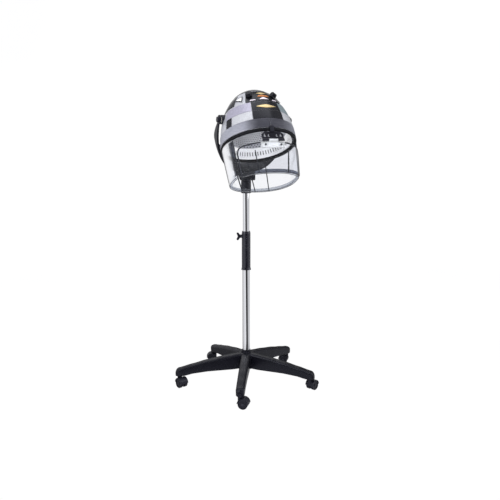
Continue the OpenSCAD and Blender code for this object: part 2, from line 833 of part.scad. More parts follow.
module clamp_screws() {
    color([0.1, 0.1, 0.1]) rim_frame() for (side = [-1, 1])
        translate([side * 34, skirt_point(13.5, -66, visor_gap - 2).y, -66]) rotate([90, 0, 0]) {
            cylinder(r = 2, h = 12);
            translate([0, 0, 10.5]) cylinder(r = 4, h = 2.5);
        }
}

module front_visor() {
    color([0.8, 0.85, 0.88, 0.5]) rim_frame() difference() {
        skirt_sheet(visor_gap, visor_gap + sheet_t, -visor_drop, visor_high, visor_gap - 11,
            -80, visor_gap - 5, [-29, 29], -visor_half, visor_half, 41);
        clamp_holes(2.05);
    }
}

module rear_skirt() {
    from = visor_half + 4;
    color([0.75, 0.8, 0.84, 0.5]) rim_frame() skirt_sheet(-sheet_t, 0, -skirt_drop, -gasket_low - 0.3,
        -10, -12, -6, [151, 180, 209], from, 360 - from, 63);
}

base_star();
hub_collar();
lower_tube();
collar_sleeve();
collar_clamp();
guide_bush();
upper_tube();
tube_plug();
wing_knob();
caster_housing(0);  // caster_1_housing
caster_wheels(0);  // caster_1_wheels
caster_housing(1);  // caster_2_housing
caster_wheels(1);  // caster_2_wheels
caster_housing(2);  // caster_3_housing
caster_wheels(2);  // caster_3_wheels
caster_housing(3);  // caster_4_housing
caster_wheels(3);  // caster_4_wheels
caster_housing(4);  // caster_5_housing
caster_wheels(4);  // caster_5_wheels
yoke_socket();
yoke_cradle();
left_pivot_knob();
right_pivot_knob();
pivot_hubs();
pivot_washers();
front_shell();
rear_shell();
metal_band();
rim_gasket();
light_tiles();
dark_tiles();
control_panel();
timer_knob();
heat_knob();
timer_unit();
thermostat_unit();
crown_cap();
oval_badge();
indicator_lenses();
intake_grilles();
air_bowl();
ceiling_grille();
fan_shroud();
fan_motor();
motor_bridge();
fan_shaft();
fan_wheel();
heater_frame();
heater_coil();
thermal_cutout();
terminal_block();
supply_lead();
hinge_bracket();
hinge_pin();
visor_clamp();
clamp_screws();
front_visor();
rear_skirt();
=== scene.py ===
import json
import math

import bmesh
import bpy
from mathutils import Matrix, Vector


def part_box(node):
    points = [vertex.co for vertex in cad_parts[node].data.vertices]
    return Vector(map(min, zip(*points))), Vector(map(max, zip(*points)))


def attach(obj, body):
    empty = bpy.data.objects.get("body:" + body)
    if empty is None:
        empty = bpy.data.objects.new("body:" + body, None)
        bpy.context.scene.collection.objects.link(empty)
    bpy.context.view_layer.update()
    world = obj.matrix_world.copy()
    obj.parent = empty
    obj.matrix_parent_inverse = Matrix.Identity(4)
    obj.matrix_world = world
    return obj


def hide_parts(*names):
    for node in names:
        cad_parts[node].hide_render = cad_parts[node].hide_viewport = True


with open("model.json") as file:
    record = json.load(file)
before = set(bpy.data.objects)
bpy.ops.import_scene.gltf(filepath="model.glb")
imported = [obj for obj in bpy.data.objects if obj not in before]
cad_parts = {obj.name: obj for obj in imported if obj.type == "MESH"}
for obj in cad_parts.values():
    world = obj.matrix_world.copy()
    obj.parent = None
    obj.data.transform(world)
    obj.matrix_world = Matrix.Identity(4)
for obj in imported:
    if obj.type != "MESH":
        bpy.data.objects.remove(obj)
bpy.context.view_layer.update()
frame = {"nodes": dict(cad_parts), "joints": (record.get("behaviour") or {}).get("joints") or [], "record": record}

MM = 0.001

# ---------------------------------------------------------------- places from the frame
# Lengths are in metres and turns in degrees from the front of the hood. Heights run along the axis of
# the hood, from the plane of its rim.

JOINTS = {j["name"]: j for j in frame["joints"]}
PIVOT = Vector(JOINTS["hood_tilt"]["pos_m"])
HOOD_UP = Vector(JOINTS["fan_spin"]["axis"]).normalized()
GASKET_LOW, GASKET_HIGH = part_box("rim_gasket")
GASKET_SINK = 0.5 * MM
GASKET_PROUD = 1.5 * MM
RIM_CENTRE = (GASKET_LOW + GASKET_HIGH) / 2 + HOOD_UP * GASKET_SINK
RIM_CENTRE.x = 0.0
HOOD_X = Vector((1, 0, 0))
HOOD_Y = HOOD_UP.cross(HOOD_X)
HOOD = Matrix((
    (HOOD_X.x, HOOD_Y.x, HOOD_UP.x, RIM_CENTRE.x),
    (HOOD_X.y, HOOD_Y.y, HOOD_UP.y, RIM_CENTRE.y),
    (HOOD_X.z, HOOD_Y.z, HOOD_UP.z, RIM_CENTRE.z),
    (0, 0, 0, 1)))


def hood_heights(node):
    """Lowest and highest point of a node along the hood axis, from the rim plane."""
    heights = [(v.co - RIM_CENTRE).dot(HOOD_UP) for v in frame["nodes"][node].data.vertices]
    return min(heights), max(heights)


RIM_R = (GASKET_HIGH.x - GASKET_LOW.x) / 2 - GASKET_PROUD
DOME_H = hood_heights("rear_shell")[1]
VISOR_LOW, VISOR_HIGH = hood_heights("front_visor")
SKIRT_LOW, SKIRT_HIGH = hood_heights("rear_skirt")
SHELL_T = 3 * MM
SHELL_LOW = 7.5 * MM
BAND_TOP = 50 * MM
ROW_1 = (BAND_TOP, 92 * MM)
ROW_2 = (92 * MM, 140 * MM)
ROW_3 = (146 * MM, 208 * MM)
FRONT_HALF = 75
TILE_SPLIT = 25
TILE_SIDE = 60
PATCH_FROM = 57
PATCH_TO = 104
BADGE_AT = 112 * MM
SKIRT_HALF_W = 148 * MM
SKIRT_HALF_D = 122 * MM
SKIRT_SQUARER = 0.4
SHEET_T = 2.5 * MM
VISOR_GAP = 3 * MM
VISOR_HALF = 58
SKIRT_FROM = 62


# ---------------------------------------------------------------- hood surfaces

def dome(turn, z, grow=0.0):
    """Point on the dome, in the rim frame."""
    t = math.radians(turn)
    r = (RIM_R + grow) * math.sqrt(max(0.0, 1 - (z / (DOME_H + grow)) ** 2))
    return Vector((r * math.sin(t), -r * math.cos(t), z))


def dome_normal(turn, z):
    """Outward normal of the dome, in the rim frame."""
    p = dome(turn, z)
    n = Vector((p.x / RIM_R ** 2, p.y / RIM_R ** 2, p.z / DOME_H ** 2))
    return n.normalized()


def skirt(turn, z, grow=0.0):
    """Point on the tapering skirt surface, in the rim frame; the section grows squarer downwards."""
    t = z / VISOR_LOW
    a = RIM_R + (SKIRT_HALF_W - RIM_R) * t + grow
    b = RIM_R + (SKIRT_HALF_D - RIM_R) * t + grow
    n = 2 + SKIRT_SQUARER * t
    s, c = math.sin(math.radians(turn)), math.cos(math.radians(turn))
    k = ((abs(s) / a) ** n + (abs(c) / b) ** n) ** (-1 / n)
    return Vector((k * s, -k * c, z))


def surface_frame(turn, z):
    """Frame on the dome: +Z along the outward normal, +X down the surface."""
    n = dome_normal(turn, z)
    t = math.radians(turn)
    y = Vector((math.cos(t), math.sin(t), 0))
    x = y.cross(n)
    p = dome(turn, z)
    return HOOD @ Matrix((
        (x.x, y.x, n.x, p.x),
        (x.y, y.y, n.y, p.y),
        (x.z, y.z, n.z, p.z),
        (0, 0, 0, 1)))


# ---------------------------------------------------------------- mesh helpers

SHARP = 50
NORMAL_WEIGHT = 60
ON_AXIS = 1e-6


def new_object(name, bm, material, body, node=None, bevel=0.0, angle=SHARP, segments=2, rim=None):
    """Makes a piece of a bmesh and lets it ride its body; it stands for the CAD node, if one is named.

    rim is the material of the faces with material index 1."""
    bmesh.ops.recalc_face_normals(bm, faces=bm.faces)
    mesh = bpy.data.meshes.new(name)
    bm.to_mesh(mesh)
    bm.free()
    obj = bpy.data.objects.new(name, mesh)
    bpy.context.scene.collection.objects.link(obj)
    mesh.materials.append(material)
    if rim:
        mesh.materials.append(rim)
    smooth(obj, bevel, angle, segments)
    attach(obj, body)
    if node:
        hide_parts(node)


def round_edges(obj, width, angle, segments=2):
    """Bevels the edges that are sharper than an angle, without touching the mesh."""
    mod = obj.modifiers.new("edge_round", "BEVEL")
    mod.width = width
    mod.segments = segments
    mod.limit_method = "ANGLE"
    mod.angle_limit = math.radians(angle)
    mod.use_clamp_overlap = True


def smooth(obj, bevel, angle, segments):
    """Smooth shading that keeps edges crisp: a small bevel and weighted normals."""
    for polygon in obj.data.polygons:
        polygon.use_smooth = True
    if bevel > 0:
        round_edges(obj, bevel, angle, segments)
    mod = obj.modifiers.new("even_normals", "WEIGHTED_NORMAL")
    mod.keep_sharp = True
    mod.weight = NORMAL_WEIGHT


def solid_grid(bm, point, cols, rows, closed=False, skip=None, matrix=HOOD):
    """Closed sheet between point(u, v, 0) outside and point(u, v, 1) inside, u and v from 0 to 1.

    skip(i, j) leaves a cell out as a through opening; faces of the rim get material index 1."""
    last = cols if closed else cols + 1
    grid = [[[bm.verts.new(matrix @ point(i / cols, j / rows, side)) for i in range(last)]
             for j in range(rows + 1)] for side in (0, 1)]

    def vert(side, i, j):
        return grid[side][j][i % last if closed else i]

    def solid(i, j):
        if j < 0 or j >= rows:
            return False
        if closed:
            i %= cols
        elif i < 0 or i >= cols:
            return False
        return not (skip and skip(i, j))

    for i in range(cols):
        for j in range(rows):
            if not solid(i, j):
                continue
            quads = [(vert(0, i, j), vert(0, i + 1, j), vert(0, i + 1, j + 1), vert(0, i, j + 1)),
                     (vert(1, i, j + 1), vert(1, i + 1, j + 1), vert(1, i + 1, j), vert(1, i, j))]
            for quad in quads:
                bm.faces.new(quad)
            sides = [((i, j - 1), (i, j), (i + 1, j)), ((i, j + 1), (i + 1, j + 1), (i, j + 1)),
                     ((i - 1, j), (i, j + 1), (i, j)), ((i + 1, j), (i + 1, j), (i + 1, j + 1))]
            for beside, a, b in sides:
                if solid(*beside):
                    continue
                face = bm.faces.new((vert(0, *b), vert(0, *a), vert(1, *a), vert(1, *b)))
                face.material_index = 1
    loose = [v for v in bm.verts if not v.link_faces]
    bmesh.ops.delete(bm, geom=loose, context="VERTS")


def lathe(bm, profile, steps=96, matrix=HOOD):
    """Closed ring or solid from an outline of (radius, height) points going round the section."""
    rings = []
    for r, z in profile:
        if r < ON_AXIS:
            rings.append([bm.verts.new(matrix @ Vector((0, 0, z)))])
        else:
            rings.append([bm.verts.new(matrix @ Vector((
                r * math.cos(2 * math.pi * i / steps), r * math.sin(2 * math.pi * i / steps), z)))
                for i in range(steps)])
    for k in range(len(rings)):
        a, b = rings[k], rings[(k + 1) % len(rings)]
        if len(a) == 1 and len(b) == 1:
            continue
        for i in range(steps):
            n = (i + 1) % steps
            if len(a) == 1:
                bm.faces.new((a[0], b[i], b[n]))
            elif len(b) == 1:
                bm.faces.new((a[i], b[0], a[n]))
            else:
                bm.faces.new((a[i], b[i], b[n], a[n]))


def prism(bm, outline, low, high, matrix):
    """Extruded outline of (x, y) points."""
    bottom = [bm.verts.new(matrix @ Vector((x, y, low))) for x, y in outline]
    top = [bm.verts.new(matrix @ Vector((x, y, high))) for x, y in outline]
    count = len(outline)
    bm.faces.new(bottom[::-1])
    bm.faces.new(top)
    for i in range(count):
        n = (i + 1) % count
        bm.faces.new((bottom[i], bottom[n], top[n], top[i]))


def tube(bm, rings, closed=False):
    """Skin over rings of vertices; its ends are capped, or joined if it is closed."""
    count = len(rings[0])
    pairs = list(zip(rings, rings[1:]))
    if closed:
        pairs.append((rings[-1], rings[0]))
    for a, b in pairs:
        for k in range(count):
            n = (k + 1) % count
            bm.faces.new((a[k], b[k], b[n], a[n]))
    if not closed:
        bm.faces.new(rings[0])
        bm.faces.new(rings[-1][::-1])


# ---------------------------------------------------------------- materials

NOISE_LOW, NOISE_HIGH = 0.3, 0.7
MIX_A, MIX_B, MIX_OUT = 6, 7, 2


def fill(node, values):
    """Sets a node's inputs by name."""
    for key, value in values.items():
        node.inputs[key].default_value = value


class Nodes:
    """Short wrapper that adds nodes to one material."""

    def __init__(self, name):
        self.material = bpy.data.materials.new(name)
        self.material.use_nodes = True
        self.tree = self.material.node_tree
        self.shader = self.tree.nodes["Principled BSDF"]
        self.output = self.tree.nodes["Material Output"]
        self.coords = self.tree.nodes.new("ShaderNodeTexCoord").outputs["Object"]

    def add(self, kind, **values):
        """New node; each value goes to the input of that name, or else to the property."""
        node = self.tree.nodes.new("ShaderNode" + kind)
        for key, value in values.items():
            if key in node.inputs:
                node.inputs[key].default_value = value
            else:
                setattr(node, key, value)
        return node

    def link(self, a, b):
        self.tree.links.new(a, b)

    def stretched(self, x, y, z):
        mapping = self.add("Mapping")
        mapping.inputs["Scale"].default_value = (x, y, z)
        self.link(self.coords, mapping.inputs["Vector"])
        return mapping.outputs["Vector"]

    def noise(self, scale, detail=3.0, vector=None):
        node = self.add("TexNoise", Scale=scale, Detail=detail)
        self.link(vector or self.coords, node.inputs["Vector"])
        return node.outputs["Fac"]

    def ramp(self, fac, low, high, start=NOISE_LOW, end=NOISE_HIGH):
        """Colour from low at start to high at end."""
        node = self.add("ValToRGB")
        for stop, place, color in zip(node.color_ramp.elements, (start, end), (low, high)):
            stop.position = place
            stop.color = (*color, 1)
        self.link(fac, node.inputs["Fac"])
        return node.outputs["Color"]

    def spread(self, value, low, high, start=NOISE_LOW, end=NOISE_HIGH, curve="LINEAR"):
        """Number from low at start to high at end."""
        node = self.add("MapRange", interpolation_type=curve)
        fill(node, {"From Min": start, "From Max": end, "To Min": low, "To Max": high})
        self.link(value, node.inputs["Value"])
        return node.outputs["Result"]

    def mix(self, fac, a, b):
        """Colour mix; a and b are sockets or plain colours."""
        node = self.add("Mix", data_type="RGBA")
        self.link(fac, node.inputs["Factor"])
        for slot, value in ((MIX_A, a), (MIX_B, b)):
            if hasattr(value, "links"):
                self.link(value, node.inputs[slot])
            else:
                node.inputs[slot].default_value = (*value, 1)
        return node.outputs[MIX_OUT]

    def blend(self, fac, first, second):
        """Mix of two shaders; fac is a socket or a number."""
        node = self.add("MixShader")
        if hasattr(fac, "links"):
            self.link(fac, node.inputs["Fac"])
        else:
            node.inputs["Fac"].default_value = fac
        self.link(first.outputs[0], node.inputs[1])
        self.link(second.outputs[0], node.inputs[2])
        return node

    def bump(self, height, strength, distance):
        node = self.add("Bump", Strength=strength, Distance=distance)
        self.link(height, node.inputs["Height"])
        self.link(node.outputs["Normal"], self.shader.inputs["Normal"])

    def paint(self, color):
        self.link(color, self.shader.inputs["Base Color"])

    def roughen(self, noise, low, high):
        self.link(self.spread(noise, low, high), self.shader.inputs["Roughness"])

    def show(self, shader):
        self.link(shader.outputs[0], self.output.inputs["Surface"])


def tone(color, factor):
    """Colour made darker or paler."""
    return tuple(min(1.0, c * factor) for c in color)


GRAIN_STEP = 0.4 * MM
LINE_STEP = 0.2 * MM
WORN_FROM, WORN_TO = 0.52, 0.62
WORN_LIFT = 0.004
COOL_SHINE = (0.82, 0.85, 1, 1)


def moulded(name, color, rough=0.4, grain=900, depth=0.12, wear=1.6, coat=0.0, shine=0.5):
    """Moulded plastic: fine spark texture, slow colour drift, paler worn edges."""
    n = Nodes(name)
    drift = n.ramp(n.noise(14, 4), tone(color, 0.85), tone(color, 1.18))
    edge = n.add("NewGeometry").outputs["Pointiness"]
    worn = n.ramp(edge, (0, 0, 0), (1, 1, 1), WORN_FROM, WORN_TO)
    lift = tuple(min(1.0, c * wear + WORN_LIFT) for c in color)
    n.paint(n.mix(worn, drift, lift))
    n.roughen(n.noise(35, 5), rough - 0.06, rough + 0.08)
    fill(n.shader, {"Specular IOR Level": shine, "Coat Weight": coat, "Coat Roughness": 0.12,
                    "Specular Tint": COOL_SHINE})
    n.bump(n.noise(grain, 3), depth, GRAIN_STEP)
    return n.material


def metal(name, color, rough=0.4, stretch=(1, 1, 1), grain=400, depth=0.05, metallic=1.0):
    """Metal with drawn or brushed lines along one direction."""
    n = Nodes(name)
    lines = n.noise(grain, 4, n.stretched(*stretch))
    n.paint(n.ramp(lines, tone(color, 0.88), tone(color, 1.06)))
    n.shader.inputs["Metallic"].default_value = metallic
    n.roughen(n.noise(20, 5), max(0.02, rough - 0.03), rough + 0.05)
    n.bump(lines, depth, LINE_STEP)
    return n.material


# Strength of the painted glow of the clear sheets.
SHEET_GLOW = 1.12
SHINE_SHARE = 0.3
SHEET_LEAST = 0.004
OUTLINE_FROM, OUTLINE_TO = 0.76, 0.88


def clear(name, tint, haze, edge=0.8, start=0.5, full=0.95, rim=0.0):
    """Clear sheet: see-through face on, with a painted glow mixed with gloss where it is steep, and a painted dark
    reflection at its outline.

    haze is how milky the sheet is face on. The painted glow grows to a share edge while the steepness
    goes from start to full, and the painted dark outline to a share rim; 0 is face on and 1 is edge on."""
    n = Nodes(name)
    through = n.add("BsdfTransparent")
    n.link(n.ramp(n.noise(6), tone(tint, 0.98), tint), through.inputs["Color"])
    milk = n.add("BsdfDiffuse", Color=(0.85, 0.87, 0.9, 1))
    sheet = n.blend(n.spread(n.noise(22, 4), haze * 0.7, haze * 1.3), through, milk)
    # The emission is a painted glow: the sheet shines white where it is steep, though it is no lamp.
    white = n.add("Emission", Strength=SHEET_GLOW)
    streaks = n.noise(9, 4, n.stretched(1, 1, 0.1))
    n.link(n.ramp(streaks, (0.8, 0.82, 0.86), (0.98, 0.98, 1)), white.inputs["Color"])
    shine = n.add("BsdfGlossy", Color=(0.95, 0.97, 1, 1))
    scratches = n.noise(160, 6, n.stretched(1, 1, 6))
    n.link(n.spread(scratches, 0.04, 0.16), shine.inputs["Roughness"])
    painted_glow_and_gloss = n.blend(SHINE_SHARE, white, shine)
    facing = n.add("LayerWeight", Blend=0.5).outputs["Facing"]
    steep = n.spread(facing, SHEET_LEAST, edge, start, full, "SMOOTHSTEP")
    outline = n.spread(facing, 0, rim, OUTLINE_FROM, OUTLINE_TO, "SMOOTHSTEP")
    # Near-black gloss at the outline: a painted dark reflection.
    dark = n.add("BsdfGlossy", Color=(0.02, 0.021, 0.025, 1))
    n.show(n.blend(outline, n.blend(steep, sheet, painted_glow_and_gloss), dark))
    return n.material


# Sideways distances between which the painted dark reflection on the band fades to silver.
DARK_WITHIN, SILVER_BEYOND = 45 * MM, 160 * MM


def band_with_painted_reflection(name):
    """Brushed grey band, silver at both sides; over the front and back a painted dark reflection darkens it to
    charcoal.
    """
    n = Nodes(name)
    split = n.add("SeparateXYZ")
    n.link(n.coords, split.inputs[0])
    sideways = n.add("Math", operation="ABSOLUTE")
    n.link(split.outputs["X"], sideways.inputs[0])
    # Painted dark reflection: the colour goes from charcoal at the front and back to silver at the sides.
    side = n.spread(sideways.outputs[0], 0, 1, DARK_WITHIN, SILVER_BEYOND, "SMOOTHSTEP")
    lines = n.noise(260, 5, n.stretched(0.15, 0.15, 3))
    dark = n.ramp(lines, (0.026, 0.027, 0.038), (0.06, 0.061, 0.08))
    pale = n.ramp(lines, (0.26, 0.27, 0.33), (0.42, 0.43, 0.5))
    n.paint(n.mix(side, dark, pale))
    n.shader.inputs["Metallic"].default_value = 0.5
    n.roughen(n.noise(30, 4), 0.34, 0.46)
    n.bump(lines, 0.06, LINE_STEP)
    return n.material


def tile_finish(name, color):
    """Silver film tile with fine upright lines."""
    n = Nodes(name)
    lines = n.noise(380, 4, n.stretched(1, 1, 0.08))
    n.paint(n.ramp(lines, tone(color, 0.82), tone(color, 1.15)))
    fill(n.shader, {"Metallic": 0.3, "Coat Weight": 0.1})
    n.roughen(n.noise(26, 4), 0.3, 0.42)
    n.bump(lines, 0.05, LINE_STEP)
    return n.material


LOOKS = {
    "black_plastic": (moulded, (0.0028, 0.0028, 0.0052),
                      dict(rough=0.36, grain=800, depth=0.16, wear=2.0, coat=0.05, shine=0.26)),
    "gloss_black": (moulded, (0.003, 0.003, 0.0045),
                    dict(rough=0.26, grain=500, depth=0.05, wear=2.0, coat=0.05, shine=0.28)),
    "polished_black": (moulded, (0.002, 0.002, 0.004),
                       dict(rough=0.17, grain=500, depth=0.03, wear=1.5, coat=0.3, shine=0.6)),
    "caster_wheel": (moulded, (0.005, 0.005, 0.008),
                     dict(rough=0.4, grain=700, depth=0.16, wear=2.2, shine=0.3)),
    "gasket_rubber": (moulded, (0.004, 0.004, 0.005),
                      dict(rough=0.55, grain=1400, depth=0.2, wear=2.0, shine=0.15)),
    "sheet_edge": (moulded, (0.012, 0.013, 0.017),
                   dict(rough=0.3, grain=500, depth=0.05, wear=1.5, coat=0.1, shine=0.3)),
    "white_plastic": (moulded, (0.82, 0.82, 0.82), dict(rough=0.4, grain=700, depth=0.08, wear=1.1)),
    "nylon_white": (moulded, (0.7, 0.69, 0.64), dict(rough=0.5, grain=600, depth=0.1, wear=1.1)),
    "lens_white": (moulded, (0.8, 0.8, 0.82), dict(rough=0.25, grain=400, depth=0.04, wear=1.1, coat=0.2)),
    "pale_mark": (moulded, (0.72, 0.66, 0.74), dict(rough=0.5, grain=700, depth=0.1, wear=1.0)),
    "mica": (moulded, (0.5, 0.44, 0.32), dict(rough=0.6, grain=300, depth=0.3, wear=1.2)),
    "chrome": (metal, (0.9, 0.91, 0.94), dict(rough=0.05, stretch=(1, 1, 0.02), grain=300, depth=0.01)),
    "silver_shell": (metal, (0.46, 0.47, 0.52), dict(rough=0.36, grain=500, depth=0.04, metallic=0.35)),
    "inner_metal": (metal, (0.5, 0.51, 0.55), dict(rough=0.35, grain=260, depth=0.06, metallic=0.6)),
    "gold_trim": (metal, (0.66, 0.52, 0.27), dict(rough=0.34, grain=500, depth=0.08, metallic=0.6)),
    "copper_trim": (metal, (0.55, 0.2, 0.06), dict(grain=500, depth=0.08, metallic=0.5)),
    "resistance_wire": (metal, (0.35, 0.28, 0.22), dict(rough=0.45)),
    "motor_steel": (metal, (0.25, 0.25, 0.27), {}),
    "silver_tile": (tile_finish, (0.44, 0.45, 0.49), {}),
    "tile_lilac": (tile_finish, (0.32, 0.31, 0.4), {}),
    "tile_teal": (tile_finish, (0.2, 0.25, 0.28), {}),
    "clear_sheet": (clear, (0.91, 0.915, 0.935), dict(haze=0.004, edge=0.5, start=0.55, rim=0.5)),
    "skirt_clear": (clear, (0.955, 0.96, 0.972),
                    dict(haze=0.004, edge=0.7, start=0.36, full=0.62, rim=0.85)),
    "smoked_plate": (clear, (0.9, 0.91, 0.93), dict(haze=0.3)),
    "sheet_lip": (clear, (0.7, 0.715, 0.75), dict(haze=0.05, edge=0.1)),
    "side_tint": (clear, (0.22, 0.23, 0.27), dict(haze=0.02, edge=0.03)),
    "band_tint": (clear, (0.36, 0.38, 0.43), dict(haze=0.02, edge=0.05)),
}
MATS = {name: make(name, color, **settings) for name, (make, color, settings) in LOOKS.items()}
MATS["band_metal"] = band_with_painted_reflection("band_metal")
BLACK = MATS["gloss_black"]
SILVER = MATS["silver_tile"]
PLASTIC = MATS["black_plastic"]
SHEET_EDGE = MATS["sheet_edge"]

SLOT_OF = {part["node"]: part["material_slot"] for part in frame["record"]["subparts"]}
POLISHED_NODES = ("collar_sleeve", "collar_clamp")
for node_name, node_object in frame["nodes"].items():
    look = MATS["polished_black" if node_name in POLISHED_NODES else SLOT_OF[node_name]]
    for material_slot in node_object.material_slots:
        material_slot.material = look
    if not node_object.material_slots:
        node_object.data.materials.append(look)


# ---------------------------------------------------------------- hood shells

def shell_part(name, node, low, high, start, end, grow, thick, cols, rows, bevel):
    """Dome-following sheet between two heights and two turns."""
    bm = bmesh.new()
    first = math.asin(low / DOME_H)
    last = math.asin(min(1.0, high / DOME_H))

    def point(u, v, side):
        lift = grow if side == 0 else grow - thick
        z = (DOME_H + lift) * math.sin(first + (last - first) * v)
        return dome(start + (end - start) * u, z, lift)

    solid_grid(bm, point, cols, rows)
    finish = MATS[SLOT_OF[node]]
    new_object(name, bm, finish, "hood", node, bevel=bevel, rim=finish)


TOP_STOP = 0.999
BAND_END = 359.6
BAND_PROUD = 1.8 * MM
BAND_T = 1.6 * MM
shell_part("hood_front_cover", "front_shell", SHELL_LOW, DOME_H * TOP_STOP, -FRONT_HALF, FRONT_HALF,
           grow=0, thick=SHELL_T, cols=72, rows=40, bevel=0.6 * MM)
shell_part("rim_band_metal", "metal_band", SHELL_LOW, BAND_TOP, 0, BAND_END,
           grow=BAND_PROUD, thick=BAND_T, cols=180, rows=8, bevel=0.5 * MM)

TILE_TOP = 1.4 * MM
TILE_UNDER = 0.2 * MM
TILE_GAP = 0.7 * MM
TILE_GAP_TURN = 0.35


def tile(name, node, low, high, start, end, finish):
    """Thin raised tile on the dome, with a gap to its neighbours."""
    bm = bmesh.new()

    def point(u, v, side):
        z = low + TILE_GAP + (high - low - 2 * TILE_GAP) * v
        turn = start + TILE_GAP_TURN + (end - start - 2 * TILE_GAP_TURN) * u
        return dome(turn, z, TILE_TOP if side == 0 else TILE_UNDER)

    solid_grid(bm, point, 24, 8)
    new_object(name, bm, finish, "hood", node, bevel=0.45 * MM, rim=finish)


def tile_pair(name, node, low, high, start, end, left, right):
    """Two tiles that mirror each other; left and right are their finishes."""
    tile(name + "_left", node, low, high, -end, -start, left)
    tile(name + "_right", node, low, high, start, end, right)


tile_pair("trim_tile_low", "light_tiles", *ROW_1, TILE_SPLIT, TILE_SIDE, SILVER, SILVER)
tile_pair("trim_tile_high", "light_tiles", *ROW_2, TILE_SPLIT, FRONT_HALF, MATS["tile_lilac"],
          MATS["tile_teal"])
tile_pair("dark_tile_low", "dark_tiles", *ROW_1, TILE_SIDE, FRONT_HALF - 2, BLACK, BLACK)
tile_pair("dark_patch_front", "dark_tiles", *ROW_3, PATCH_FROM, FRONT_HALF, BLACK, BLACK)
tile_pair("dark_patch_rear", "dark_tiles", *ROW_3, FRONT_HALF, PATCH_TO, BLACK, BLACK)
tile("dark_tile_centre_low", "dark_tiles", *ROW_1, -TILE_SPLIT, TILE_SPLIT, BLACK)
tile("dark_tile_centre_high", "dark_tiles", *ROW_2, -TILE_SPLIT, TILE_SPLIT, BLACK)


# ---------------------------------------------------------------- badge, triangles and panel marks
# Outlines are lists of (across, up), and they, low and high are in millimetres.

def plate(name, node, outline, turn, z, low, high, finish):
    """Small flat plate on the dome."""
    bm = bmesh.new()
    turned = [(-up * MM, across * MM) for across, up in outline]
    prism(bm, turned, low * MM, high * MM, surface_frame(turn, z))
    new_object(name, bm, finish, "hood", node, bevel=0.3 * MM, angle=40)


def lens(half_w, half_h, steps=20, power=1.4):
    """Pointed oval outline."""
    upper = [(-half_w + 2 * half_w * i / steps,
              half_h * (1 - abs(-1 + 2 * i / steps) ** power)) for i in range(steps + 1)]
    return upper + [(x, -y) for x, y in upper[-2:0:-1]]


def bar(low_half, high_half, half_h):
    """Bar outline that narrows upwards."""
    return [(-low_half, -half_h), (0, -half_h), (low_half, -half_h),
            (high_half, half_h), (0, half_h), (-high_half, half_h)]


def scaled(outline, factor):
    """Outline scaled about the mean of its points."""
    cx = sum(x for x, y in outline) / len(outline)
    cy = sum(y for x, y in outline) / len(outline)
    return [(cx + (x - cx) * factor, cy + (y - cy) * factor) for x, y in outline]


PLATE_RINGS = 6
PLATE_RISE = 0.62


def wrapped_plate(name, outline, turn, z, low, high, finish, node=None):
    """Plate whose surface follows the dome: fan from its middle, pushed to the dome."""
    bm = bmesh.new()
    radius = dome(0, z).xy.length / MM
    grid = []
    for lift in (high * MM, low * MM):
        middle = bm.verts.new(HOOD @ dome(turn, z, lift))
        rows = []
        for k in range(1, PLATE_RINGS + 1):
            rows.append([bm.verts.new(HOOD @ dome(turn + math.degrees(x * k / PLATE_RINGS / radius),
                                                  z + y * k / PLATE_RINGS * PLATE_RISE * MM, lift))
                         for x, y in outline])
        grid.append((middle, rows))
    count = len(outline)
    for side, (middle, rows) in enumerate(grid):
        for i in range(count):
            n = (i + 1) % count
            fan = (middle, rows[0][i], rows[0][n])
            bm.faces.new(fan if side == 0 else fan[::-1])
            for a, b in zip(rows, rows[1:]):
                quad = (a[i], b[i], b[n], a[n])
                bm.faces.new(quad if side == 0 else quad[::-1])
    top, under = grid[0][1][-1], grid[1][1][-1]
    for i in range(count):
        n = (i + 1) % count
        bm.faces.new((top[n], top[i], under[i], under[n]))
    new_object(name, bm, finish, "hood", node, bevel=0.25 * MM)


GOLD = MATS["gold_trim"]
wrapped_plate("badge_plate", lens(44, 14), 0, BADGE_AT, 1.5, 2.6, GOLD, "oval_badge")
wrapped_plate("badge_step", lens(35, 9.5), 0, BADGE_AT, 1.6, 3.3, GOLD, "oval_badge")

TRIANGLE = [(-23, 4), (9, 17), (12, -18)]
TRIANGLE_TURN = 46
TRIANGLE_AT = 170 * MM
FRAME_SCALE, LENS_SCALE = 1.12, 0.82
FRAME_TOP = 3.0
for label, side in (("left", 1), ("right", -1)):
    shape = [(x * side, y) for x, y in TRIANGLE][::side]
    turn = -TRIANGLE_TURN * side
    plate("triangle_frame_" + label, "indicator_lenses", scaled(shape, FRAME_SCALE), turn, TRIANGLE_AT,
          1.2, FRAME_TOP, BLACK)
    plate("triangle_lens_" + label, "indicator_lenses", scaled(shape, LENS_SCALE), turn, TRIANGLE_AT,
          FRAME_TOP, FRAME_TOP + 0.5, MATS["lens_white"])

MARK_LOW = 2.0
PALE = MATS["pale_mark"]
wrapped_plate("panel_mark_gold", lens(21, 13, 12, 1.1), 0, 190 * MM, MARK_LOW, 4.6, GOLD)
wrapped_plate("panel_mark_copper", bar(25, 17, 7), 1, 172 * MM, MARK_LOW, 4.6, MATS["copper_trim"])
wrapped_plate("panel_mark_pale", [(-21, -8), (0, -8), (21, -8), (0, 12)], 0, 156 * MM, MARK_LOW, 4.8, PALE)
for label, turn in (("left", -21), ("right", 21)):
    wrapped_plate("panel_strip_" + label, bar(13, 9, 4), turn, 149 * MM, MARK_LOW, 4.2, PALE)


# ---------------------------------------------------------------- visor and rear skirt

CORNER_TURN = 12
CORNER_DROP = 26 * MM
LIP = 11 * MM
LIP_T = 2.5 * MM
LIP_CURL = 1.2 * MM
INSIDE_GAP = 0.2 * MM
SHEET_COLS = 96
EDGE_INSET = 0.8
EDGE_TRIM = 0.6
SKIRT_TRIM = 4 * MM
CLAMP_LOW, CLAMP_HIGH, CLAMP_HALF = -76.5 * MM, -55.5 * MM, 18.2


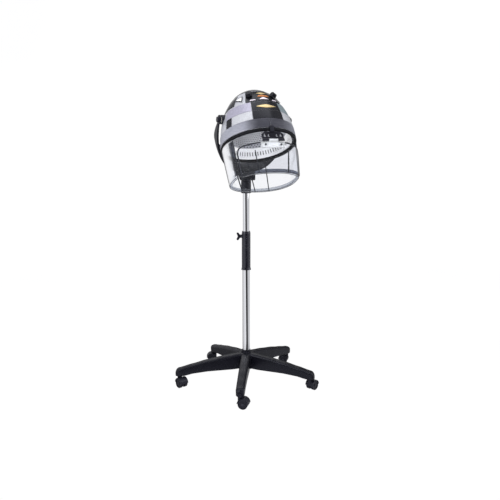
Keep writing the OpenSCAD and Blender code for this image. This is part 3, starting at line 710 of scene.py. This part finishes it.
def corner_drop(turn, half, depth):
    """How far a top edge comes down in a round corner near the end of a sheet."""
    near = (abs(turn) - (half - CORNER_TURN)) / CORNER_TURN
    if near <= 0:
        return 0.0
    return depth * (1 - math.sqrt(max(0.0, 1 - min(1.0, near) ** 2)))


def visor_piece():
    bm = bmesh.new()

    def point(u, v, side):
        turn = -VISOR_HALF + 2 * VISOR_HALF * u
        top = VISOR_HIGH - corner_drop(turn, VISOR_HALF, CORNER_DROP)
        z = top + (VISOR_LOW - top) * v
        return skirt(turn, z, VISOR_GAP + (SHEET_T if side == 0 else 0))

    solid_grid(bm, point, SHEET_COLS, 26)
    new_object("clear_visor", bm, MATS["clear_sheet"], "visor", "front_visor", rim=SHEET_EDGE)


def bead(name, path, grow, across, outward, body, node=None, closed=False):
    """Rounded bead that follows a path of (turn, height) on the skirt surface.

    across and outward are its radii along the sheet and away from it."""
    bm = bmesh.new()
    spots = [skirt(turn, z, grow) for turn, z in path]
    count, sides = len(spots), 10
    rings = []
    for i, spot in enumerate(spots):
        ahead = spots[(i + 1) % count] if closed else spots[min(i + 1, count - 1)]
        behind = spots[i - 1] if closed else spots[max(i - 1, 0)]
        along_path = (ahead - behind).normalized()
        out = Vector((spot.x, spot.y, 0)).normalized()
        side = along_path.cross(out).normalized()
        out = side.cross(along_path).normalized()
        rings.append([bm.verts.new(HOOD @ (spot + side * math.cos(2 * math.pi * k / sides) * across
                                           + out * math.sin(2 * math.pi * k / sides) * outward))
                      for k in range(sides)])
    tube(bm, rings, closed)
    new_object(name, bm, SHEET_EDGE, body, node)


def visor_bead_path():
    """Up the left edge of the visor, over its top and down the right edge."""
    half = VISOR_HALF - EDGE_INSET
    bottom, corner = VISOR_LOW + 4 * MM, VISOR_HIGH - CORNER_DROP
    left = [(-half, bottom + (corner - bottom) * i / 24) for i in range(25)]
    over = [(turn, VISOR_HIGH - 1.5 * MM - corner_drop(turn, half, CORNER_DROP - 2 * MM))
            for turn in (-half + 2 * half * i / 48 for i in range(1, 48))]
    return left + over + [(half, z) for turn, z in left[::-1]]


def clamp_bead_path():
    """Round the edge of the visor clamp."""
    middle = (CLAMP_LOW + CLAMP_HIGH) / 2
    bottom = [(-CLAMP_HALF + 2 * CLAMP_HALF * i / 16, CLAMP_LOW) for i in range(17)]
    top = [(turn, CLAMP_HIGH) for turn, z in bottom[::-1]]
    return bottom + [(CLAMP_HALF, middle)] + top + [(-CLAMP_HALF, middle)]


def beads():
    in_visor = VISOR_GAP + SHEET_T / 2
    bead("visor_edge_bead", visor_bead_path(), in_visor, 3.4 * MM, 2.3 * MM, "visor", "front_visor")
    bead("clamp_edge_bead", clamp_bead_path(), VISOR_GAP + SHEET_T + 2.4 * MM, 1.3 * MM, 1.2 * MM, "visor",
         closed=True)
    rise = SKIRT_HIGH - SKIRT_TRIM - SKIRT_LOW
    for label, side in (("left", 1), ("right", -1)):
        path = [(side * (SKIRT_FROM + EDGE_TRIM), SKIRT_LOW + rise * i / 20) for i in range(21)]
        bead("skirt_edge_bead_" + label, path, -SHEET_T / 2, 1.6 * MM, 1.6 * MM, "hood", "rear_skirt")
    half = VISOR_HALF - 0.5
    path = [(-half + 2 * half * i / 60, VISOR_LOW + 1.6 * MM) for i in range(61)]
    bead("visor_bottom_bead", path, in_visor, 1.5 * MM, 1.2 * MM, "visor", "front_visor")


def lip_piece(name, start, end, low, grow, body, node):
    """Rounded inward flange along the bottom of a sheet."""
    bm = bmesh.new()

    def point(u, v, side):
        inside = grow - INSIDE_GAP - LIP * v
        curl = LIP_CURL * math.sin(math.pi * v)
        z = low + (LIP_T if side == 0 else 0) + curl * (1 if side == 0 else 0.2)
        return skirt(start + (end - start) * u, z, inside)

    solid_grid(bm, point, SHEET_COLS, 6)
    new_object(name, bm, MATS["sheet_lip"], body, node, bevel=0.5 * MM, rim=SHEET_EDGE)


def skirt_piece():
    bm = bmesh.new()

    def point(u, v, side):
        turn = SKIRT_FROM + (360 - 2 * SKIRT_FROM) * u
        z = SKIRT_HIGH + (SKIRT_LOW - SKIRT_HIGH) * v
        return skirt(turn, z, 0 if side == 0 else -SHEET_T)

    solid_grid(bm, point, 144, 20)
    new_object("clear_rear_skirt", bm, MATS["skirt_clear"], "hood", "rear_skirt", rim=SHEET_EDGE)


def strip_piece(name, start, end, low, high, grow, thick, body, finish, node):
    """Strip laid on the inside of a sheet."""
    bm = bmesh.new()
    cols = max(3, int(abs(end - start) / 2))

    def point(u, v, side):
        return skirt(start + (end - start) * u, low + (high - low) * v, grow - (thick if side else 0))

    solid_grid(bm, point, cols, 10)
    new_object(name, bm, finish, body, node, bevel=0.3 * MM, rim=SHEET_EDGE)


STRIP_LIFT = 1 * MM
SIDE_STRIP_T, BAND_STRIP_T = 1.2 * MM, 1 * MM
STRIP_INSET = 0.4
RIGHT_STRIP, LEFT_STRIP = 9, 12


def strips():
    """Dark strips at the front edges of the skirt and tinted bands along the bottom of both sheets."""
    in_skirt, in_visor = -SHEET_T - INSIDE_GAP, VISOR_GAP - INSIDE_GAP
    skirt_to = 360 - SKIRT_FROM
    for label, start, end in (("right", SKIRT_FROM + STRIP_INSET, SKIRT_FROM + RIGHT_STRIP),
                              ("left", skirt_to - LEFT_STRIP, skirt_to - STRIP_INSET)):
        strip_piece("skirt_side_strip_" + label, start, end, SKIRT_LOW + 8 * MM, SKIRT_HIGH - SKIRT_TRIM,
                    in_skirt, SIDE_STRIP_T, "hood", MATS["side_tint"], "rear_skirt")
    strip_piece("visor_bottom_strip", 1 - VISOR_HALF, VISOR_HALF - 1, VISOR_LOW + LIP_T + STRIP_LIFT,
                VISOR_LOW + 15 * MM, in_visor, BAND_STRIP_T, "visor", MATS["band_tint"], "front_visor")
    strip_piece("skirt_bottom_strip", SKIRT_FROM + RIGHT_STRIP + STRIP_INSET,
                skirt_to - LEFT_STRIP - STRIP_INSET, SKIRT_LOW + LIP_T + STRIP_LIFT, SKIRT_LOW + 18 * MM,
                in_skirt, BAND_STRIP_T, "hood", MATS["sheet_lip"], "rear_skirt")


RIB_HALF = 0.8


def rib_piece(name, turn, low, high, grow, depth, body, node):
    """Upright stiffening rib on the inside of a sheet; it grows deeper over its upper third."""
    bm = bmesh.new()

    def point(u, v, side):
        z = high + (low - high) * v
        reach = grow + 0.3 * MM if side == 0 else grow - depth * min(1.0, 0.35 + 2 * v)
        return skirt(turn - RIB_HALF + 2 * RIB_HALF * u, z, reach)

    solid_grid(bm, point, 2, 16)
    new_object(name, bm, SHEET_EDGE, body, node, bevel=0.4 * MM, rim=SHEET_EDGE)


def ribs():
    for number, turn in enumerate((-29, 29), 1):
        rib_piece("visor_rib_%d" % number, turn, VISOR_LOW + LIP_T, -80 * MM, VISOR_GAP, 4 * MM, "visor",
                  "front_visor")
    for number, turn in enumerate((151, 180, 209), 1):
        rib_piece("skirt_rib_%d" % number, turn, SKIRT_LOW + LIP_T, -12 * MM, -SHEET_T, 3.5 * MM, "hood",
                  "rear_skirt")


visor_piece()
beads()
lip_piece("clear_visor_lip", -VISOR_HALF, VISOR_HALF, VISOR_LOW, VISOR_GAP, "visor", "front_visor")
skirt_piece()
lip_piece("clear_rear_skirt_lip", SKIRT_FROM, 360 - SKIRT_FROM, SKIRT_LOW, -SHEET_T + 0.3 * MM, "hood",
          "rear_skirt")
strips()
ribs()


# ---------------------------------------------------------------- air bowl and ceiling

BOWL_R = 146 * MM
BOWL_H = 106 * MM
BOWL_T = 2 * MM
BOWL_EDGES = (1.1, 5.5, 9, 18.5, 23, 27)
LONG_SLOT_BAND = 2
VENTS_FROM, VENTS_SPAN = 27.2, 38.3
# Angles of the dark sheet of painted shade behind the bowl.
SHADE_SHEET_FROM, SHADE_SHEET_SPAN = 3, 62
CEILING_FROM, CEILING_SPAN = 63, 26
CEILING_HOLE_BANDS = 22


def bowl_point(turn, angle, inward):
    """Point on the bowl, in the rim frame; angle is up from the rim."""
    r, h = BOWL_R - inward, BOWL_H - inward
    t, a = math.radians(turn), math.radians(angle)
    return Vector((r * math.cos(a) * math.sin(t), -r * math.cos(a) * math.cos(t), h * math.sin(a)))


def bowl_ring(name, start, span, outer, inner, cols, rows, finish, node=None, skip=None):
    """Full ring of the bowl between two angles, between depths outer and inner."""
    bm = bmesh.new()

    def point(u, v, side):
        return bowl_point(360 * u, start + span * v, outer if side == 0 else inner)

    solid_grid(bm, point, cols, rows, True, skip)
    new_object(name, bm, finish, "hood", node, rim=finish)


def bowl_piece():
    """Lower part of the bowl, with a row of long air slots."""
    bm = bmesh.new()
    bands = len(BOWL_EDGES) - 1

    def point(u, v, side):
        return bowl_point(360 * u, BOWL_EDGES[round(v * bands)], 0 if side == 0 else BOWL_T)

    solid_grid(bm, point, 216, bands, True, lambda i, j: j == LONG_SLOT_BAND and i % 3 == 0)
    finish = MATS["white_plastic"]
    new_object("white_air_bowl", bm, finish, "hood", "air_bowl", rim=finish)


bowl_piece()
bowl_ring("perforated_air_bowl", VENTS_FROM, VENTS_SPAN, 0, BOWL_T, 112, 18, MATS["inner_metal"], "air_bowl",
          skip=lambda i, j: j % 2 == 1 and (i + j // 2) % 2 == 0)
# Dark sheet just outside the bowl: painted shade that shows through its slots and holes.
bowl_ring("bowl_painted_shade_sheet", SHADE_SHEET_FROM, SHADE_SHEET_SPAN, -1.2 * MM, -0.4 * MM, 120, 16, MATS["gasket_rubber"])
bowl_ring("perforated_ceiling", CEILING_FROM, CEILING_SPAN, 1 * MM, 2 * MM, 120, 26, MATS["inner_metal"],
          "ceiling_grille", skip=lambda i, j: i % 2 == 0 and j % 2 == 1 and j < CEILING_HOLE_BANDS)


# ---------------------------------------------------------------- star base
# Lengths in this section are in millimetres.

LEG_COUNT = 5
FIRST_STEM = Vector(JOINTS["caster_1_swivel"]["pos_m"]).xy
STEM_AT = FIRST_STEM.length / MM
FIRST_LEG = math.atan2(JOINTS["caster_1_swivel"]["pos_m"][1], JOINTS["caster_1_swivel"]["pos_m"][0])
HUB_R = 20
POST_R = 17.6
CROWN = 1.1
TIP_FROM = STEM_AT - 4
TIP_TOP, TIP_DROP, TIP_UNDER = 91, 24, 54.5
TIP_R = 20.0
TIP_LENGTH, TIP_END, TIP_REACH = TIP_R + 3.5, TIP_R + 0.6, 23.2
HALF_AT_HUB, HALF_AT_TIP = 22, 19.5
LEG_TOP = [(HUB_R, 141.5), (38, 140.5), (100, 133), (188, 119), (260, 104), (TIP_FROM, TIP_TOP)]
LEG_UNDER = [(HUB_R, 70), (70, 67), (190, 67), (260, 62.5), (STEM_AT - 26, 56), (STEM_AT - 20, TIP_UNDER)]
EASE = 0.35


def along(table, x):
    """Height at x on a line through (x, height) points, slightly eased at each of them."""
    for (x0, y0), (x1, y1) in zip(table, table[1:]):
        if x <= x1:
            t = max(0.0, (x - x0) / (x1 - x0))
            t = t * t * (3 - 2 * t) * EASE + t * (1 - EASE)
            return y0 + (y1 - y0) * t
    return table[-1][1]


def leg_section(x):
    """Half width, top and underside of a leg at a distance from the pole."""
    if x <= TIP_FROM:
        half = HALF_AT_HUB + (HALF_AT_TIP - HALF_AT_HUB) * min(1.0, x / STEM_AT)
        return half, along(LEG_TOP, x), along(LEG_UNDER, x)
    t = min(1.0, (x - TIP_FROM) / TIP_LENGTH)
    top = TIP_TOP - TIP_DROP * (1 - math.sqrt(max(0.0, 1 - t * t)))
    past = max(0.0, x - STEM_AT) / TIP_END
    half = max(4.0, TIP_R * math.sqrt(max(0.0, 1 - past ** 2)) * 0.98)
    return half, top, TIP_UNDER


def leg_outline(half, top, under):
    """Section of a leg as (across, up) points: round upper corners, a slight crown and a small foot."""
    corner = min(11.0, half * 0.8, (top - under) * 0.35)
    foot = min(3.0, half * 0.3)
    angles = [math.pi / 2 * i / 8 for i in range(9)]
    right = [(half - corner + corner * math.cos(a), top - corner + corner * math.sin(a)) for a in angles]
    left = [(-y, z) for y, z in right[::-1]]
    side = half - 0.6
    lower = [(-side, under + foot), (-half + foot, under), (half - foot, under), (side, under + foot)]
    return right + [(0.0, top + CROWN)] + left + lower


def star_leg(index):
    bm = bmesh.new()
    turn = FIRST_LEG + 2 * math.pi / LEG_COUNT * index
    spin = Matrix.Rotation(turn, 4, "Z")
    stations = [HUB_R + (TIP_FROM - HUB_R) * i / 40 for i in range(41)]
    stations += [TIP_FROM + TIP_REACH * math.sin(math.pi / 2 * i / 10) for i in range(1, 11)]
    tube(bm, [[bm.verts.new(spin @ Vector((x, y, z)) * MM) for y, z in leg_outline(*leg_section(x))]
              for x in stations])
    new_object("star_leg_%d" % (index + 1), bm, PLASTIC, "base", "base_star", bevel=0.5 * MM)


def star_hub():
    bm = bmesh.new()
    outside = [(34, 66.3), (37, 68.5), (38, 72), (38, 134), (36.5, 138.5), (33, 141.5), (27, 142.8)]
    outline = [(POST_R, 66.3)] + outside + [(POST_R, 142.9)]
    lathe(bm, [(r * MM, z * MM) for r, z in outline], matrix=Matrix.Identity(4))
    new_object("star_hub", bm, PLASTIC, "base", "base_star")


for number in range(LEG_COUNT):
    star_leg(number)
star_hub()


# ---------------------------------------------------------------- yoke
# The radii of the bosses and of the neck are in millimetres.

YOKE_LOW, YOKE_HIGH = 26, 60
YOKE_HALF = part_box("yoke_cradle")[1].x
YOKE_ARM_T = 8 * MM
YOKE_R, YOKE_MID_T = 245 * MM, 10 * MM
YOKE_END = 88.7
YOKE_SQUARE = 0.8
BOSS_BORE, BOSS_R = 5.1, 20
SOCKET_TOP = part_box("yoke_socket")[1].z
NECK_R, NECK_FLARE, NECK_CURVE = 21.9, 21, 1.25
NECK_SLOPE = 1.7


def yoke_band():
    """Crescent between two tilts round the pivot; its ends narrow to the arms."""
    bm = bmesh.new()

    def point(u, v, side):
        t = math.radians(-YOKE_END + 2 * YOKE_END * u)
        inner = YOKE_ARM_T if side else 0
        reach = YOKE_R + (0 if side else YOKE_MID_T)
        radius = reach * math.cos(t) ** YOKE_SQUARE
        x = (YOKE_HALF - inner) * math.copysign(abs(math.sin(t)) ** YOKE_SQUARE, t)
        a = math.radians(YOKE_LOW + (YOKE_HIGH - YOKE_LOW) * v)
        return Vector((x, radius * math.sin(a), -radius * math.cos(a)))

    solid_grid(bm, point, 120, 14, matrix=Matrix.Translation(PIVOT))
    new_object("yoke_crescent", bm, PLASTIC, "yoke", "yoke_cradle", bevel=2.2 * MM, angle=45, segments=3,
               rim=PLASTIC)


def yoke_boss(name, side):
    """Round end of an arm, with the bore for the tilt bolt."""
    bm = bmesh.new()
    low, high = YOKE_HALF - YOKE_ARM_T, YOKE_HALF - 0.1 * MM
    profile = [(BOSS_BORE, low), (18.5, low), (BOSS_R, low + 1.5 * MM), (BOSS_R, high - 2.5 * MM),
               (19.2, high - 0.8 * MM), (17.4, high), (BOSS_BORE, high)]
    turn = Matrix.Translation(PIVOT) @ Matrix.Rotation(math.radians(90 * side), 4, "Y")
    lathe(bm, [(r * MM, z) for r, z in profile], 64, turn)
    new_object(name, bm, PLASTIC, "yoke", "yoke_cradle")


def yoke_neck():
    """Flaring neck from the socket up to the underside of the crescent."""
    bm = bmesh.new()
    steps, levels = 64, 8
    bottom = SOCKET_TOP + 0.2 * MM
    reach = YOKE_R + YOKE_MID_T * 0.6
    edge_y = PIVOT.y + reach * math.sin(math.radians(YOKE_LOW + 0.5))

    def top_at(y):
        if y < edge_y:
            return max(bottom + 2 * MM, top_at(edge_y) + (y - edge_y) * NECK_SLOPE)
        return PIVOT.z - math.sqrt(reach ** 2 - (y - PIVOT.y) ** 2)

    rings = []
    for k in range(levels + 1):
        r = (NECK_R + NECK_FLARE * (k / levels) ** NECK_CURVE) * MM
        ring = []
        for i in range(steps):
            a = 2 * math.pi * i / steps
            y = r * math.sin(a)
            ring.append(bm.verts.new((r * math.cos(a), y, bottom + (top_at(y) - bottom) * k / levels)))
        rings.append(ring)
    for a, b in zip(rings, rings[1:]):
        for i in range(steps):
            n = (i + 1) % steps
            bm.faces.new((a[i], a[n], b[n], b[i]))
    bm.faces.new(rings[0][::-1])
    middle_y = 4 * MM
    middle = bm.verts.new((0, middle_y, top_at(middle_y)))
    for i in range(steps):
        bm.faces.new((middle, rings[-1][i], rings[-1][(i + 1) % steps]))
    new_object("yoke_neck", bm, PLASTIC, "yoke", "yoke_cradle")


yoke_band()
yoke_boss("yoke_boss_left", -1)
yoke_boss("yoke_boss_right", 1)
yoke_neck()


# ---------------------------------------------------------------- edges of the CAD nodes that are shown

CAD_SHARP = 35
CASTER_BEVEL = 0.8 * MM
CAD_BEVEL = 0.6 * MM
for number in range(1, LEG_COUNT + 1):
    for kind in ("housing", "wheels"):
        round_edges(frame["nodes"]["caster_%d_%s" % (number, kind)], CASTER_BEVEL, CAD_SHARP)
for node_name in ("hub_collar", "collar_sleeve", "collar_clamp", "wing_knob", "yoke_socket", "pivot_hubs",
                  "left_pivot_knob", "right_pivot_knob", "timer_knob", "heat_knob", "hinge_bracket",
                  "visor_clamp", "clamp_screws"):
    round_edges(frame["nodes"][node_name], CAD_BEVEL, CAD_SHARP)


# ---------------------------------------------------------------- floor, light and camera
# CAMERA_TURN is in degrees and CAMERA_DOWN in radians.

CAMERA_TURN = 20.0
CAMERA_DISTANCE = 2.7835
CAMERA_HEIGHT = 1.088
CAMERA_DOWN = 0.1592
CAMERA_SHIFT = 0.0182
CAMERA_LENS = 43.2
FLOOR_HALF, FLOOR_FRONT, FLOOR_BACK, FLOOR_RISE = 9.0, -6.0, 3.5, 5.0
COVE_R = 1.5


def floor():
    """Floor that curves up into a backdrop; the camera sees it as plain white."""
    bm = bmesh.new()
    cove = [math.radians(a) for a in range(9, 91, 9)]
    outline = [(FLOOR_FRONT, 0.0), (FLOOR_BACK, 0.0)]
    outline += [(FLOOR_BACK + COVE_R * math.sin(a), COVE_R * (1 - math.cos(a))) for a in cove]
    outline.append((FLOOR_BACK + COVE_R, FLOOR_RISE))
    left = [bm.verts.new((-FLOOR_HALF, y, z)) for y, z in outline]
    right = [bm.verts.new((FLOOR_HALF, y, z)) for y, z in outline]
    for i in range(len(outline) - 1):
        bm.faces.new((left[i], right[i], right[i + 1], left[i + 1]))
    mesh = bpy.data.meshes.new("studio_floor")
    bm.to_mesh(mesh)
    bm.free()
    obj = bpy.data.objects.new("studio_floor", mesh)
    bpy.context.scene.collection.objects.link(obj)
    n = Nodes("pale_floor")
    n.paint(n.ramp(n.noise(3), (0.9, 0.9, 0.9), (0.94, 0.94, 0.94)))
    n.shader.inputs["Roughness"].default_value = 0.8
    glow = n.add("Emission", Strength=1.03)
    n.link(n.ramp(n.noise(0.6, 2), (0.97, 0.97, 0.975), (1, 1, 1)), glow.inputs["Color"])
    n.show(n.blend(n.add("LightPath").outputs["Is Camera Ray"], n.shader, glow))
    mesh.materials.append(n.material)
    for polygon in mesh.polygons:
        polygon.use_smooth = True
    obj.rotation_euler.z = math.radians(-CAMERA_TURN)
    obj.visible_glossy = False


def area(name, place, target, size, power, mirrored=True):
    """Area light aimed at a target; mirrored says whether reflections show it."""
    data = bpy.data.lights.new(name, "AREA")
    data.shape = "RECTANGLE"
    data.size, data.size_y = size
    data.energy = power
    obj = bpy.data.objects.new(name, data)
    bpy.context.scene.collection.objects.link(obj)
    obj.location = place
    obj.visible_glossy = mirrored
    obj.rotation_euler = (Vector(target) - Vector(place)).to_track_quat("-Z", "Y").to_euler()


SKY_STOPS = [(0.0, 0.15), (0.04, 0.4), (0.09, 0.62), (0.2, 0.76), (0.36, 1.0), (0.395, 0.03), (0.515, 0.03),
             (0.545, 0.48), (0.6, 0.56), (0.66, 0.72), (0.8, 0.66), (0.88, 0.25), (0.95, 0.1)]
SKY_TWIST = 2.56
SKY_BLUE = 1.02
SKY_STRENGTH = 0.95


def studio_world():
    """White surroundings; in reflections they are light and dark upright panels, SKY_STOPS all round.

    The stops are (share of a full turn, brightness). Below the horizon the panels twist, by SKY_TWIST
    radians straight down."""
    world = bpy.data.worlds.new("studio_world")
    bpy.context.scene.world = world
    world.use_nodes = True
    tree = world.node_tree
    link = tree.links.new

    def add(kind, **values):
        node = tree.nodes.new("ShaderNode" + kind)
        for key, value in values.items():
            setattr(node, key, value)
        return node

    turned = add("Mapping", vector_type="POINT")
    turned.inputs["Rotation"].default_value = (0, 0, math.radians(CAMERA_TURN + 90))
    link(add("TexCoord").outputs["Generated"], turned.inputs["Vector"])
    split = add("SeparateXYZ")
    link(turned.outputs[0], split.inputs[0])
    angle = add("Math", operation="ARCTAN2")
    link(split.outputs["Y"], angle.inputs[0])
    link(split.outputs["X"], angle.inputs[1])
    below = add("Math", operation="MINIMUM")
    link(split.outputs["Z"], below.inputs[0])
    below.inputs[1].default_value = 0.0
    twist = add("Math", operation="MULTIPLY_ADD")
    link(below.outputs[0], twist.inputs[0])
    twist.inputs[1].default_value = SKY_TWIST
    link(angle.outputs[0], twist.inputs[2])
    span = add("MapRange")
    fill(span, {"From Min": -math.pi, "From Max": math.pi})
    link(twist.outputs[0], span.inputs["Value"])
    ramp = add("ValToRGB")
    stops = ramp.color_ramp.elements
    for number, (place, value) in enumerate(SKY_STOPS):
        stop = stops[number] if number < 2 else stops.new(place)
        stop.position = place
        stop.color = (value, value, value * SKY_BLUE, 1)
    link(span.outputs[0], ramp.inputs["Fac"])
    even = tree.nodes["Background"]
    fill(even, {"Color": (1, 1, 1, 1), "Strength": 1.0})
    mirror = add("Background")
    link(ramp.outputs["Color"], mirror.inputs["Color"])
    mirror.inputs["Strength"].default_value = SKY_STRENGTH
    both = add("MixShader")
    link(add("LightPath").outputs["Is Glossy Ray"], both.inputs["Fac"])
    link(even.outputs[0], both.inputs[1])
    link(mirror.outputs[0], both.inputs[2])
    link(both.outputs[0], tree.nodes["World Output"].inputs["Surface"])


def photo_camera():
    data = bpy.data.cameras.new("photo_camera")
    data.lens = CAMERA_LENS
    data.sensor_width = 36
    data.sensor_fit = "HORIZONTAL"
    data.clip_start = 0.05
    camera = bpy.data.objects.new("photo_camera", data)
    bpy.context.scene.collection.objects.link(camera)
    s, c = math.sin(math.radians(CAMERA_TURN)), math.cos(math.radians(CAMERA_TURN))
    camera.location = (CAMERA_SHIFT * c - CAMERA_DISTANCE * s, -CAMERA_SHIFT * s - CAMERA_DISTANCE * c,
                       CAMERA_HEIGHT)
    camera.rotation_euler = (math.pi / 2 - CAMERA_DOWN, 0, -math.radians(CAMERA_TURN))
    bpy.context.scene.camera = camera


floor()
area("key_left", (-2.6, -1.6, 2.6), (0, 0, 0.9), (1.6, 2.4), 40)
area("fill_right", (2.4, -1.2, 1.8), (0, 0, 0.9), (1.2, 2.4), 16)
area("top", (0, -0.2, 3.2), (0, 0, 0.8), (2.0, 2.0), 22)
area("rim_back", (0.8, 2.4, 2.2), (0, 0, 1.0), (2.0, 1.6), 10)
area("into_hood", (-0.35, -1.3, 0.45), (0, -0.15, 1.2), (0.7, 0.7), 14, mirrored=False)
studio_world()
bpy.context.scene.view_settings.view_transform = "Standard"
photo_camera()
